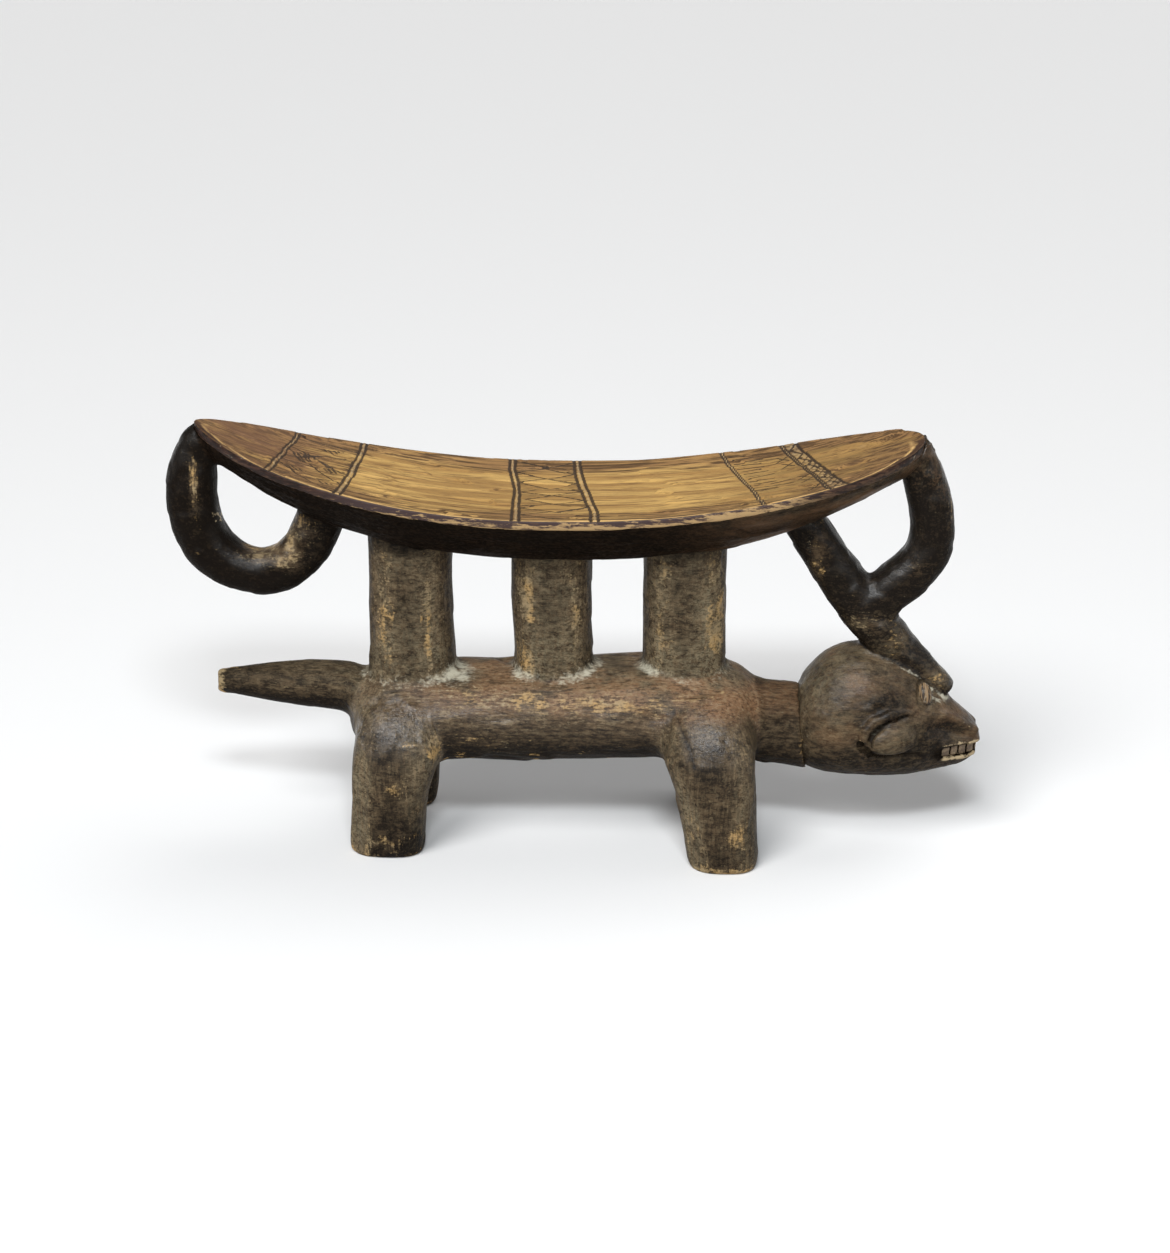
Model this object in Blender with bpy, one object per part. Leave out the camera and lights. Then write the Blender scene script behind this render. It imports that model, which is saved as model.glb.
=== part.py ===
"""Carved wooden headrest: an animal that carries a curved seat on three posts.

The carving's members are modelled one by one, each as its own closed solid. The frame's origin is on
the ground under the middle of the carving, +X points to the animal's nose, +Z up. The animal's right
side is at -Y. Tables of stations give a member's centre line and half sizes in millimetres.
"""

import math

import bmesh
import bpy
from mathutils import Vector

MM = 0.001
GAP = 0.3  # clearance between neighbouring members

# Seat: a boat-shaped board bent to an arc, with a dished top and a hull-shaped underside.
SEAT_CENTRE_X = -10.0
SEAT_HALF_LENGTH = 188.0
SEAT_HALF_WIDTH = 51.0
SEAT_LOW_Z = 193.8  # rim height at the lowest place
SEAT_REAR_RISE = (34.7, 2.2)  # rise of the rim at the tail end, and how late it comes
SEAT_FRONT_RISE = (31.6, 2.05)  # the same, nose end
SEAT_REAR_TAPER = (3.0, 0.65)  # plan outline exponents, tail end
SEAT_FRONT_TAPER = (4.0, 0.47)  # plan outline exponents, nose end
SEAT_END_DEPTH = 17.0
SEAT_MIDDLE_DEPTH = 35.0
SEAT_RIM = 5.0
SEAT_DISH = 3.5
SEAT_TIP_T = 0.985

WOOD_DARK = (0.055, 0.036, 0.024)
WOOD_BROWN = (0.13, 0.085, 0.055)
WOOD_GOLD = (0.36, 0.215, 0.095)
WOOD_PALE = (0.50, 0.42, 0.31)

# Members that run along X: (x, centre z, half height, half width)
BODY = [
    (-121.5, 70.0, 5.0, 7.0),
    (-119.0, 69.5, 14.0, 16.0),
    (-111.0, 69.3, 20.8, 25.0),
    (-95.0, 69.3, 23.7, 30.0),
    (-60.0, 70.1, 24.6, 32.0),
    (-10.0, 71.7, 24.9, 32.5),
    (40.0, 73.9, 24.6, 33.0),
    (68.0, 74.2, 24.3, 32.0),
    (85.0, 72.9, 22.3, 28.5),
    (94.0, 71.0, 18.0, 23.0),
    (98.0, 70.0, 11.0, 14.0),
]
TAIL = [
    (-193.2, 83.0, 4.6, 4.8),
    (-191.0, 83.1, 5.8, 6.2),
    (-181.0, 83.1, 7.6, 8.2),
    (-168.0, 82.9, 9.6, 10.0),
    (-149.0, 82.2, 11.2, 11.8),
    (-129.0, 81.2, 12.6, 13.4),
    (-118.0, 79.5, 12.8, 15.0),
    (-108.0, 76.5, 11.0, 14.0),
]
NECK = [
    (82.0, 70.0, 19.0, 20.0),
    (96.0, 67.3, 21.3, 21.5),
    (110.0, 65.6, 20.8, 20.5),
    (122.0, 64.0, 20.8, 20.5),
    (136.0, 62.0, 21.0, 21.0),
]
HEAD = [
    (116.5, 67.0, 10.0, 9.0),
    (118.0, 67.7, 17.4, 16.0),
    (122.0, 69.0, 24.8, 23.0),
    (130.0, 71.8, 30.8, 28.0),
    (140.0, 74.0, 34.5, 30.5),
    (152.0, 74.8, 35.7, 31.0),
    (165.0, 72.9, 34.1, 29.0),
    (178.0, 69.5, 29.9, 25.0),
    (190.0, 65.2, 23.8, 19.5),
    (200.0, 61.7, 18.2, 14.5),
    (208.0, 59.8, 12.8, 10.5),
    (213.0, 58.9, 7.6, 7.0),
    (214.5, 59.0, 3.6, 4.0),
]

# Legs run along Z: (z, centre x, centre y, half length, half width), for the right side
LEG_REAR_RIGHT = [
    (0.0, -100.0, -29.0, 17.3, 12.6),
    (1.2, -100.0, -29.0, 18.8, 14.2),
    (4.0, -100.0, -29.0, 19.6, 15.0),
    (30.0, -98.5, -30.0, 19.7, 16.0),
    (48.0, -95.5, -29.5, 21.7, 17.0),
    (61.0, -93.8, -28.0, 22.5, 17.3),
    (72.0, -94.0, -25.0, 21.5, 16.5),
    (80.5, -94.5, -21.0, 17.5, 13.0),
    (85.5, -95.0, -17.5, 10.0, 7.5),
]
LEG_FRONT_RIGHT = [
    (0.0, 79.5, -37.0, 16.2, 14.8),
    (1.2, 79.4, -37.0, 17.4, 16.2),
    (4.0, 79.3, -37.0, 18.0, 16.8),
    (36.0, 75.6, -36.0, 20.2, 17.2),
    (50.0, 73.3, -34.5, 22.0, 17.7),
    (61.0, 71.2, -32.5, 23.8, 18.0),
    (72.0, 70.5, -29.0, 23.3, 17.5),
    (81.0, 71.0, -24.5, 20.0, 14.5),
    (87.5, 71.5, -20.5, 14.5, 10.5),
    (91.5, 72.0, -18.0, 8.0, 6.0),
]
LEG_LEFT_SHIFT = {"rear": 4.0, "front": 0.0}  # the left rear leg stands further out

# Posts run along Z: (z, centre x, centre y, half length, half width)
POSTS = {
    "post_rear": [
        (72.0, -88.2, 0.0, 24.0, 19.5),
        (96.0, -87.8, 0.0, 22.8, 18.8),
        (125.0, -87.5, 0.0, 22.0, 18.2),
        (150.0, -87.3, 0.0, 21.8, 18.2),
        (184.0, -87.0, 0.0, 22.6, 19.0),
    ],
    "post_middle": [
        (74.0, -12.0, 0.0, 22.5, 18.8),
        (101.0, -12.3, 0.0, 21.2, 18.0),
        (126.0, -12.9, 0.0, 20.8, 17.6),
        (150.0, -13.3, 0.0, 20.9, 17.8),
        (178.0, -13.5, 0.0, 21.6, 18.5),
    ],
    "post_front": [
        (76.0, 57.6, 0.0, 22.6, 19.0),
        (103.0, 57.3, 0.0, 21.5, 18.2),
        (128.0, 57.0, 0.0, 21.3, 17.8),
        (152.0, 56.6, 0.0, 21.6, 18.0),
        (182.0, 56.5, 0.0, 22.4, 18.8),
    ],
}

# Members swept along a path in the XZ plane: (x, z, half width across the path, half depth in Y)
TAIL_LOOP = [
    (-194.5, 225.0, 5.0, 5.5),
    (-196.5, 219.0, 7.8, 8.5),
    (-199.0, 209.0, 11.0, 11.0),
    (-201.0, 196.0, 13.0, 12.3),
    (-201.2, 182.0, 13.3, 12.8),
    (-198.0, 168.0, 13.2, 12.8),
    (-190.0, 156.0, 12.8, 12.6),
    (-178.5, 148.6, 12.2, 12.3),
    (-166.0, 146.4, 12.0, 12.0),
    (-153.0, 150.3, 12.2, 12.0),
    (-142.8, 160.0, 12.1, 12.0),
    (-136.3, 172.0, 12.2, 12.2),
    (-130.5, 187.0, 12.0, 12.0),
]
HORN_LONG = [
    (110.0, 194.0, 10.2, 10.5),
    (119.9, 176.3, 10.8, 11.2),
    (130.0, 160.7, 11.0, 11.3),
    (141.0, 144.5, 12.0, 11.8),
    (151.0, 131.0, 12.6, 12.0),
    (161.0, 118.8, 11.9, 11.6),
    (172.0, 107.2, 10.2, 10.6),
    (182.0, 97.6, 8.8, 9.4),
    (191.0, 89.9, 7.4, 8.0),
    (196.5, 85.5, 5.2, 5.8),
]
HORN_HOOKED = [
    (173.5, 224.0, 5.0, 6.5),
    (175.5, 216.5, 8.0, 9.0),
    (178.6, 204.0, 10.2, 10.6),
    (182.5, 190.0, 11.2, 11.2),
    (184.2, 176.5, 11.2, 11.2),
    (182.0, 163.5, 11.4, 11.3),
    (174.5, 152.0, 11.6, 11.5),
    (164.0, 142.5, 12.0, 11.8),
    (151.0, 131.0, 12.0, 11.8),
]

# Face details, for the right side
MOUTH_BACK_X = 194.0
MOUTH_Z = (52.6, 59.2)
JAW_SPLIT_X = 190.0
TOOTH_PITCH = 4.4
TOOTH_SLIT = 0.9
EAR = [  # along X: (x, centre z, half height, half width), about the ear's own line
    (148.6, 68.5, 6.5, 3.0),
    (151.0, 69.2, 10.5, 5.6),
    (156.0, 69.9, 13.2, 7.4),
    (164.0, 69.5, 13.4, 7.6),
    (173.0, 67.3, 11.6, 6.6),
    (181.0, 64.2, 8.6, 5.0),
    (187.5, 61.0, 4.6, 2.6),
]
EAR_LINE = ((148.6, -31.0), (187.5, -19.5))  # (x, y) of the ear's two ends
EAR_SCOOP = (163.5, -38.0, 67.0)
EAR_SCOOP_RADII = (12.5, 5.2, 7.2)
EYE = (183.6, -14.6, 89.6)
EYE_RADII = (3.6, 3.2, 5.6)


def clear_scene():
    for old in list(bpy.data.objects):
        bpy.data.objects.remove(old)


def wood(name, colour, roughness):
    material = bpy.data.materials.new(name)
    material.use_nodes = True
    shader = material.node_tree.nodes["Principled BSDF"]
    shader.inputs["Base Color"].default_value = (*colour, 1.0)
    shader.inputs["Roughness"].default_value = roughness
    shader.inputs["Metallic"].default_value = 0.0
    return material


def through(stations, steps):
    """A smooth run of values through every station, with `steps` rings in each span."""
    padded = [stations[0], *stations, stations[-1]]
    run = []
    for a, b, c, d in zip(padded, padded[1:], padded[2:], padded[3:]):
        for k in range(steps):
            t = k / steps
            run.append(
                [
                    0.5 * (2 * q + (r - p) * t + (2 * p - 5 * q + 4 * r - s) * t**2 + (3 * q - p - 3 * r + s) * t**3)
                    for p, q, r, s in zip(a, b, c, d)
                ]
            )
    run.append(list(stations[-1]))
    return run


def ring(centre, across, along, squareness, sides):
    """Points of a superellipse with half axes `across` and `along` about `centre`."""
    points = []
    for k in range(sides):
        angle = 2 * math.pi * (k + 0.5) / sides
        c = math.copysign(abs(math.cos(angle)) ** (2 / squareness), math.cos(angle))
        s = math.copysign(abs(math.sin(angle)) ** (2 / squareness), math.sin(angle))
        points.append(Vector(centre) + Vector(across) * c + Vector(along) * s)
    return points


def solid(name, rings):
    """A closed mesh object through rings of points given in millimetres."""
    bm = bmesh.new()
    rows = [[bm.verts.new(point * MM) for point in points] for points in rings]
    for row, following in zip(rows, rows[1:]):
        for k in range(len(row)):
            after = (k + 1) % len(row)
            bm.faces.new((row[k], row[after], following[after], following[k]))
    bm.faces.new(rows[0])
    bm.faces.new(rows[-1])
    bmesh.ops.recalc_face_normals(bm, faces=bm.faces)
    mesh = bpy.data.meshes.new(name)
    bm.to_mesh(mesh)
    bm.free()
    mesh.shade_smooth()
    made = bpy.data.objects.new(name, mesh)
    bpy.context.scene.collection.objects.link(made)
    return made


def member_along_x(name, stations, steps, sides, squareness, grow=0.0):
    rings = [
        ring((x, 0, z), (0, high + grow, 0), (0, 0, tall + grow), squareness, sides)
        for x, z, tall, high in lengthened(through(stations, steps), grow)
    ]
    return solid(name, rings)


def member_along_z(name, stations, steps, sides, squareness, grow=0.0, side=1, shift=0.0):
    rings = []
    for z, x, y, half_x, half_y in through(stations, steps):
        centre = (x, side * (y - shift), z)
        rings.append(ring(centre, (half_x + grow, 0, 0), (0, half_y + grow, 0), squareness, sides))
    return solid(name, rings)


def member_along_path(name, stations, steps, sides, squareness, grow=0.0):
    run = through(stations, steps)
    rings = []
    for k, (x, z, half_width, half_depth) in enumerate(run):
        before = run[max(k - 1, 0)]
        after = run[min(k + 1, len(run) - 1)]
        tangent = Vector((after[0] - before[0], 0, after[1] - before[1])).normalized()
        across = Vector((-tangent.z, 0, tangent.x)) * (half_width + grow)
        rings.append(ring((x, 0, z), across, (0, half_depth + grow, 0), squareness, sides))
    return solid(name, rings)


def lengthened(run, grow):
    """The same run with its first and last station moved out by `grow` along X."""
    run[0][0] -= grow
    run[-1][0] += grow
    return run


def ellipsoid(name, centre, radii, squareness=2.0):
    rings = []
    layers = 9
    for k in range(1, layers):
        angle = math.pi * k / layers
        size = math.sin(angle)
        middle = (centre[0], centre[1], centre[2] - radii[2] * math.cos(angle))
        rings.append(ring(middle, (radii[0] * size, 0, 0), (0, radii[1] * size, 0), squareness, 16))
    return solid(name, rings)


def block(name, low, high):
    """A box between two corners, in millimetres."""
    rings = []
    for z in (low[2], high[2]):
        corners = ((low[0], low[1]), (high[0], low[1]), (high[0], high[1]), (low[0], high[1]))
        rings.append([Vector((x, y, z)) for x, y in corners])
    return solid(name, rings)


def seat_taper(t):
    """Half width of the seat's plan, as a share of the widest, at t from -1 at the tail to 1."""
    power, root = SEAT_REAR_TAPER if t < 0 else SEAT_FRONT_TAPER
    return (1 - abs(t) ** power) ** root


def seat_rim_z(t):
    rise, power = SEAT_REAR_RISE if t < 0 else SEAT_FRONT_RISE
    return SEAT_LOW_Z + rise * abs(t) ** power


def seat_ring(t, share, grow):
    """Cross-section of the seat at t: dished top, upright rim band and hull, all in one loop."""
    half = SEAT_HALF_WIDTH * seat_taper(t) * share + grow
    rim_z = seat_rim_z(t)
    depth = SEAT_END_DEPTH + (SEAT_MIDDLE_DEPTH - SEAT_END_DEPTH) * (1 - t**4) ** 2
    keel_z = rim_z - depth - grow
    band_z = rim_z - SEAT_RIM
    dish = SEAT_DISH * min(1.0, half / SEAT_HALF_WIDTH)
    x = SEAT_CENTRE_X + t * SEAT_HALF_LENGTH
    top_steps, hull_steps = 10, 14
    points = []
    for k in range(top_steps + 1):
        s = -1 + 2 * k / top_steps
        points.append(Vector((x, s * half, rim_z - dish * (1 - abs(s) ** 2.6) + grow)))
    for k in range(hull_steps + 1):
        s = 1 - 2 * k / hull_steps
        y = s * (half - 0.6)
        points.append(Vector((x, y, keel_z + (band_z - keel_z) * abs(s) ** 2.1)))
    return points


def seat(name, grow=0.0):
    stations = 40
    rings = []
    for k in range(stations + 1):
        t = -SEAT_TIP_T * math.cos(math.pi * k / stations)
        rings.append(seat_ring(t, 1.0, grow))
    first, last = seat_ring(-1 + 0.002, 1.0, grow), seat_ring(1 - 0.002, 1.0, grow)
    tip = SEAT_HALF_LENGTH * (1 - 0.002) + grow
    for points, x in ((first, SEAT_CENTRE_X - tip), (last, SEAT_CENTRE_X + tip)):
        for point in points:
            point.x = x
    return solid(name, [first, *rings, last])


def head(name, grow=0.0):
    return member_along_x(name, HEAD, 3, 32, 2.15, grow)


def body(name, grow=0.0):
    return member_along_x(name, BODY, 3, 36, 2.5, grow)


def neck(name, grow=0.0):
    return member_along_x(name, NECK, 3, 28, 2.2, grow)


def tail(name, grow=0.0):
    return member_along_x(name, TAIL, 3, 20, 2.3, grow)


def horn_long(name, grow=0.0):
    return member_along_path(name, HORN_LONG, 3, 20, 2.4, grow)


def horn_hooked(name, grow=0.0):
    return member_along_path(name, HORN_HOOKED, 3, 20, 2.5, grow)


def tail_loop(name, grow=0.0):
    return member_along_path(name, TAIL_LOOP, 3, 22, 2.3, grow)


def post(name, grow=0.0):
    return member_along_z(name, POSTS[name.removeprefix("cut_")], 4, 32, 2.35, grow)


def leg(name, stations, side, shift, grow=0.0):
    return member_along_z(name, stations, 3, 28, 2.9, grow, side, shift)


def ear(name, side, grow=0.0):
    (start_x, start_y), (end_x, end_y) = EAR_LINE
    rings = []
    for x, z, half_z, half_y in through(EAR, 3):
        y = start_y + (end_y - start_y) * (x - start_x) / (end_x - start_x)
        rings.append(ring((x, side * -y, z), (0, half_y + grow, 0), (0, 0, half_z + grow), 2.2, 20))
    return solid(name, rings)


def as_cutter(helper):
    helper.hide_render = True
    helper.display_type = "WIRE"
    helper.hide_set(True)
    return helper


def cut(target, helper, operation="DIFFERENCE"):
    modifier = target.modifiers.new(helper.name, "BOOLEAN")
    modifier.operation = operation
    modifier.solver = "EXACT"
    modifier.object = as_cutter(helper)
    return target


def paint(target, material):
    target.data.materials.append(material)
    return target


def build_frame(woods):
    """Seat, body and the posts, tail and handle loop that join them."""
    dark, brown, gold = woods["dark"], woods["brown"], woods["gold"]
    paint(seat("seat"), gold)
    paint(body("body"), brown)
    seat_cutter, body_cutter = seat("cut_seat", GAP), body("cut_body", GAP)
    for name in POSTS:
        upright = paint(post(name), brown)
        cut(upright, seat_cutter)
        cut(upright, body_cutter)
    cut(paint(tail("tail"), dark), body_cutter)
    cut(paint(tail_loop("tail_loop"), dark), seat_cutter)
    return seat_cutter, body_cutter


def build_legs(woods, body_cutter):
    tail_cutter = tail("cut_tail", GAP)
    for end, stations in (("rear", LEG_REAR_RIGHT), ("front", LEG_FRONT_RIGHT)):
        post_cutter = post(f"cut_post_{end}", GAP)
        for hand, side in (("right", 1), ("left", -1)):
            shift = LEG_LEFT_SHIFT[end] if hand == "left" else 0.0
            made = paint(leg(f"leg_{end}_{hand}", stations, side, shift), woods["dark"])
            cut(made, body_cutter)
            cut(made, post_cutter)
            if end == "rear":
                cut(made, tail_cutter)


def build_head(woods, seat_cutter, body_cutter):
    """Neck, skull, jaws, teeth, ears, eyes and the two horn bars that hold up the seat's front end."""
    dark, brown = woods["dark"], woods["brown"]
    head_cutter = head("cut_head", GAP)
    bar_cutter = horn_long("cut_horn_long", GAP)
    mouth = block("cut_mouth", (MOUTH_BACK_X, -30, MOUTH_Z[0]), (220, 30, MOUTH_Z[1]))
    mouth_middle = sum(MOUTH_Z) / 2

    cut(cut(paint(neck("neck"), brown), head_cutter), body_cutter)
    front = block("cut_face", (JAW_SPLIT_X - GAP, -40, 20), (230, 40, 130))
    cut(paint(head("skull"), brown), front)

    upper_space = block("cut_upper", (JAW_SPLIT_X, -40, mouth_middle + GAP / 2), (230, 40, 130))
    lower_space = block("cut_lower", (JAW_SPLIT_X, -40, 20), (230, 40, mouth_middle - GAP / 2))
    for name, space in (("upper_jaw", upper_space), ("lower_jaw", lower_space)):
        cut(cut(paint(head(name), brown), space, "INTERSECT"), mouth)

    teeth = paint(head("teeth", -1.4), woods["pale"])
    inside = block("cut_teeth", (MOUTH_BACK_X + GAP, -40, MOUTH_Z[0] + GAP), (213.2, 40, MOUTH_Z[1] - GAP))
    cut(teeth, inside, "INTERSECT")
    slit_x = MOUTH_BACK_X + TOOTH_PITCH
    for k in range(4):
        for side in (-1, 1):
            low, high = sorted((side * 2.5, side * 30))
            slit = block(f"cut_slit_{k}_{side}", (slit_x, low, 40), (slit_x + TOOTH_SLIT, high, 70))
            cut(teeth, slit)
        slit_x += TOOTH_PITCH

    long_bar = paint(horn_long("horn_long"), dark)
    cut(cut(long_bar, head_cutter), seat_cutter)
    hooked = paint(horn_hooked("horn_hooked"), dark)
    cut(cut(hooked, bar_cutter), seat_cutter)

    for hand, side in (("right", 1), ("left", -1)):
        one = paint(ear(f"ear_{hand}", side), brown)
        cut(one, head_cutter)
        centre = (EAR_SCOOP[0], side * EAR_SCOOP[1], EAR_SCOOP[2])
        cut(one, ellipsoid(f"cut_scoop_{hand}", centre, EAR_SCOOP_RADII))
        centre = (EYE[0], side * EYE[1], EYE[2])
        eye = paint(ellipsoid(f"eye_{hand}", centre, EYE_RADII), woods["gold"])
        cut(cut(eye, head_cutter), bar_cutter)


def main():
    clear_scene()
    woods = {
        "dark": wood("wood_dark", WOOD_DARK, 0.55),
        "brown": wood("wood_brown", WOOD_BROWN, 0.6),
        "gold": wood("wood_gold", WOOD_GOLD, 0.5),
        "pale": wood("wood_pale", WOOD_PALE, 0.7),
    }
    seat_cutter, body_cutter = build_frame(woods)
    build_legs(woods, body_cutter)
    build_head(woods, seat_cutter, body_cutter)


main()
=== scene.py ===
"""Looks of the carved headrest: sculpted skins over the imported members, old wood, studio and camera.

Lengths in the sculpting code are millimetres. +X is the animal's nose, -Y its right side, +Z up.
"""

import itertools
import math

import bmesh
import bpy
import numpy as np
from mathutils import Euler, Matrix, Vector
from mathutils.bvhtree import BVHTree


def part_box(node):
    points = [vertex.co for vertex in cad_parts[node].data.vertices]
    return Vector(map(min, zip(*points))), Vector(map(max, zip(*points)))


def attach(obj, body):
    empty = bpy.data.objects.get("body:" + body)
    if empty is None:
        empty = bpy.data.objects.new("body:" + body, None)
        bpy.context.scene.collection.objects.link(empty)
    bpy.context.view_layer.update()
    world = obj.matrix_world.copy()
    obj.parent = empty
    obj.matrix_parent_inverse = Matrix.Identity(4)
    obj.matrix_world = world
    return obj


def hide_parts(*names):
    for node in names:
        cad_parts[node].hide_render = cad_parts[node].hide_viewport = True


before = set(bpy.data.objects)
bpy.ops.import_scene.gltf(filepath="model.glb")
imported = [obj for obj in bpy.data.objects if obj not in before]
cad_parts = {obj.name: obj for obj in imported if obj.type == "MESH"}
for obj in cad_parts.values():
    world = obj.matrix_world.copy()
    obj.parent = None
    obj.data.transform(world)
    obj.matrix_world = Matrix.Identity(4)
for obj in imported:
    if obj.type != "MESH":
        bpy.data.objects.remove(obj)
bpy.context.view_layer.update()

MM = 0.001


# ---- numpy helpers

LATTICE = 64
TABLES = {}


def table(seed, width):
    key = (seed, width)
    if key not in TABLES:
        draws = np.random.default_rng(seed).random((LATTICE, LATTICE, LATTICE, width))
        TABLES[key] = draws.astype(np.float32)
    return TABLES[key]


def noise(points, scale, seed):
    """Smooth value noise in -1..1; `scale` is the size of its features, one number or one per axis."""
    q = points / np.asarray(scale, dtype=float)
    cell = np.floor(q).astype(np.int64)
    f = q - cell
    f = f * f * (3 - 2 * f)
    grid = table(seed, 1)[..., 0]
    total = np.zeros(len(q))
    for corner in itertools.product((0, 1), repeat=3):
        idx = (cell + corner) % LATTICE
        weight = np.prod(np.where(corner, f, 1 - f), axis=1)
        total += weight * grid[idx[:, 0], idx[:, 1], idx[:, 2]]
    return 2 * total - 1


def clouds(points, scale, seed, octaves=3):
    total, size = 0.0, np.asarray(scale, dtype=float)
    for k in range(octaves):
        total = total + noise(points, size / 2**k, seed + k) / 2**k
    return total / 1.6


def facets(points, cell, tilt, seed):
    """Height of a blade-cut surface: every point lies on the slightly tilted plane of its nearest cell."""
    size = np.asarray(cell, dtype=float)
    q = points / size
    base = np.floor(q).astype(np.int64)
    draws = table(seed, 6)
    best = np.full(len(q), np.inf)
    height = np.zeros(len(q))
    for offset in itertools.product((-1, 0, 1), repeat=3):
        spot = base + offset
        idx = spot % LATTICE
        draw = draws[idx[:, 0], idx[:, 1], idx[:, 2]]
        away = q - spot - 0.1 - 0.8 * draw[:, :3]
        distance = (away**2).sum(1)
        value = ((away * size) * (draw[:, 3:6] - 0.5)).sum(1) * 2 * tilt
        nearer = distance < best
        best[nearer] = distance[nearer]
        height[nearer] = value[nearer]
    return height


def step(low, high, values):
    t = np.clip((values - low) / (high - low), 0, 1)
    return t * t * (3 - 2 * t)


def bell(distance, width):
    return np.exp(-((distance / width) ** 2))


def near_path(points, path):
    """Distance of 2-D or 3-D points to a polyline, and how far along it (0 to 1) the nearest place is."""
    path = np.asarray(path, dtype=float)
    lengths = np.linalg.norm(np.diff(path, axis=0), axis=1)
    starts = np.concatenate([[0], np.cumsum(lengths)[:-1]])
    best = np.full(len(points), np.inf)
    along = np.zeros(len(points))
    for a, b, length, start in zip(path, path[1:], lengths, starts):
        t = np.clip(((points - a) @ (b - a)) / length**2, 0, 1)
        d = np.linalg.norm(points - (a + t[:, None] * (b - a)), axis=1)
        nearer = d < best
        best[nearer] = d[nearer]
        along[nearer] = (start + t[nearer] * length) / lengths.sum()
    return best, along


# ---- skins


class Skin:
    """One remeshed surface around several members, in millimetres; it knows which member owns each vertex."""

    def __init__(self, mesh):
        count = len(mesh.vertices)
        flat = np.empty(count * 3)
        mesh.vertices.foreach_get("co", flat)
        self.points = flat.reshape(-1, 3) / MM
        self.faces = np.array([tuple(p.vertices) for p in mesh.polygons], dtype=np.int64)
        sides = [self.faces[:, [k, (k + 1) % 4]] for k in range(4)]
        pairs = np.sort(np.concatenate(sides), axis=1)
        self.edges = np.unique(pairs, axis=0)
        self.degree = np.bincount(self.edges.ravel(), minlength=count)
        self.marks = {}

    def average(self, values):
        """Mean of each vertex's neighbours."""
        a, b = self.edges[:, 0], self.edges[:, 1]
        count = len(self.points)
        if values.ndim == 1:
            total = np.bincount(a, values[b], count) + np.bincount(b, values[a], count)
            return total / self.degree
        return np.stack([self.average(values[:, k]) for k in range(values.shape[1])], axis=1)

    def blur(self, values, rounds):
        for _ in range(rounds):
            values = 0.5 * values + 0.5 * self.average(values)
        return values

    def relax(self, rounds, weight=1.0, inflate=0.0):
        """Smoothing; with inflate it keeps the volume."""
        weight = np.broadcast_to(weight, len(self.points))[:, None]
        for _ in range(rounds):
            self.points = self.points + 0.5 * weight * (self.average(self.points) - self.points)
            if inflate:
                self.points = self.points - inflate * weight * (self.average(self.points) - self.points)

    def normals(self):
        corners = self.points[self.faces]
        cross = np.cross(corners[:, 2] - corners[:, 0], corners[:, 3] - corners[:, 1])
        total = np.zeros_like(self.points)
        for k in range(3):
            total[:, k] = np.bincount(self.faces.ravel(), np.repeat(cross[:, k], 4), len(self.points))
        return total / np.maximum(np.linalg.norm(total, axis=1), 1e-9)[:, None]

    def hollowness(self, rounds):
        """How deep a point lies in a hollow (positive) or stands on a ridge (negative), in mm."""
        return ((self.blur(self.points, rounds) - self.points) * self.normals()).sum(1)

    def push(self, height):
        self.points = self.points + self.normals() * height[:, None]

    def own(self, solids):
        """Each vertex goes to the nearest member; also notes the distance over the surface to a border."""
        verts, faces, owners = [], [], []
        for k, solid in enumerate(solids):
            start = len(verts)
            verts += [Vector(p) for p in solid[0]]
            faces += [[start + i for i in f] for f in solid[1]]
            owners += [k] * len(solid[1])
        tree = BVHTree.FromPolygons(verts, faces)
        found = [tree.find_nearest(p)[2] for p in self.points.tolist()]
        self.owner = np.array(owners)[found]
        self.border = self.reach(self.owner[self.edges[:, 0]] != self.owner[self.edges[:, 1]], 16)

    def reach(self, edge_mask, rounds):
        a, b = self.edges[:, 0], self.edges[:, 1]
        length = np.linalg.norm(self.points[a] - self.points[b], axis=1)
        far = np.full(len(self.points), float(rounds))
        far[self.edges[edge_mask].ravel()] = 0
        for _ in range(rounds):
            np.minimum.at(far, a, far[b] + length)
            np.minimum.at(far, b, far[a] + length)
        return far

    def border_between(self, first, second, rounds=16):
        one, two = self.owner[self.edges[:, 0]], self.owner[self.edges[:, 1]]
        mask = np.isin(one, first) & np.isin(two, second) | np.isin(one, second) & np.isin(two, first)
        return self.reach(mask, rounds)


def solid_of(node):
    """Vertices (mm) and faces of a packed member, with doubled vertices merged."""
    bm = bmesh.new()
    bm.from_mesh(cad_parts[node].data)
    bmesh.ops.remove_doubles(bm, verts=bm.verts, dist=2e-6)
    bm.normal_update()
    points = np.array([v.co[:] for v in bm.verts]) / MM
    normals = np.array([v.normal[:] for v in bm.verts])
    faces = [[v.index for v in f.verts] for f in bm.faces]
    bm.free()
    return points, faces, normals


def new_object(name, points, faces):
    mesh = bpy.data.meshes.new(name)
    mesh.from_pydata((np.asarray(points) * MM).tolist(), [], [list(map(int, f)) for f in faces])
    made = bpy.data.objects.new(name, mesh)
    bpy.context.scene.collection.objects.link(made)
    return made


def fuse(solids, voxel, swell=0.36):
    """One closed skin around solids given as (points, faces, normals)."""
    points, faces = [], []
    for solid in solids:
        start = len(points)
        points += (solid[0] + swell * solid[2]).tolist() if len(solid) > 2 else solid[0].tolist()
        faces += [[start + i for i in f] for f in solid[1]]
    lump = new_object("lump", points, faces)
    remesh = lump.modifiers.new("fuse", "REMESH")
    remesh.mode = "VOXEL"
    remesh.voxel_size = voxel * MM
    graph = bpy.context.evaluated_depsgraph_get()
    mesh = bpy.data.meshes.new_from_object(lump.evaluated_get(graph))
    skin = Skin(mesh)
    bpy.data.objects.remove(lump)
    bpy.data.meshes.remove(mesh)
    return skin


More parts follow.
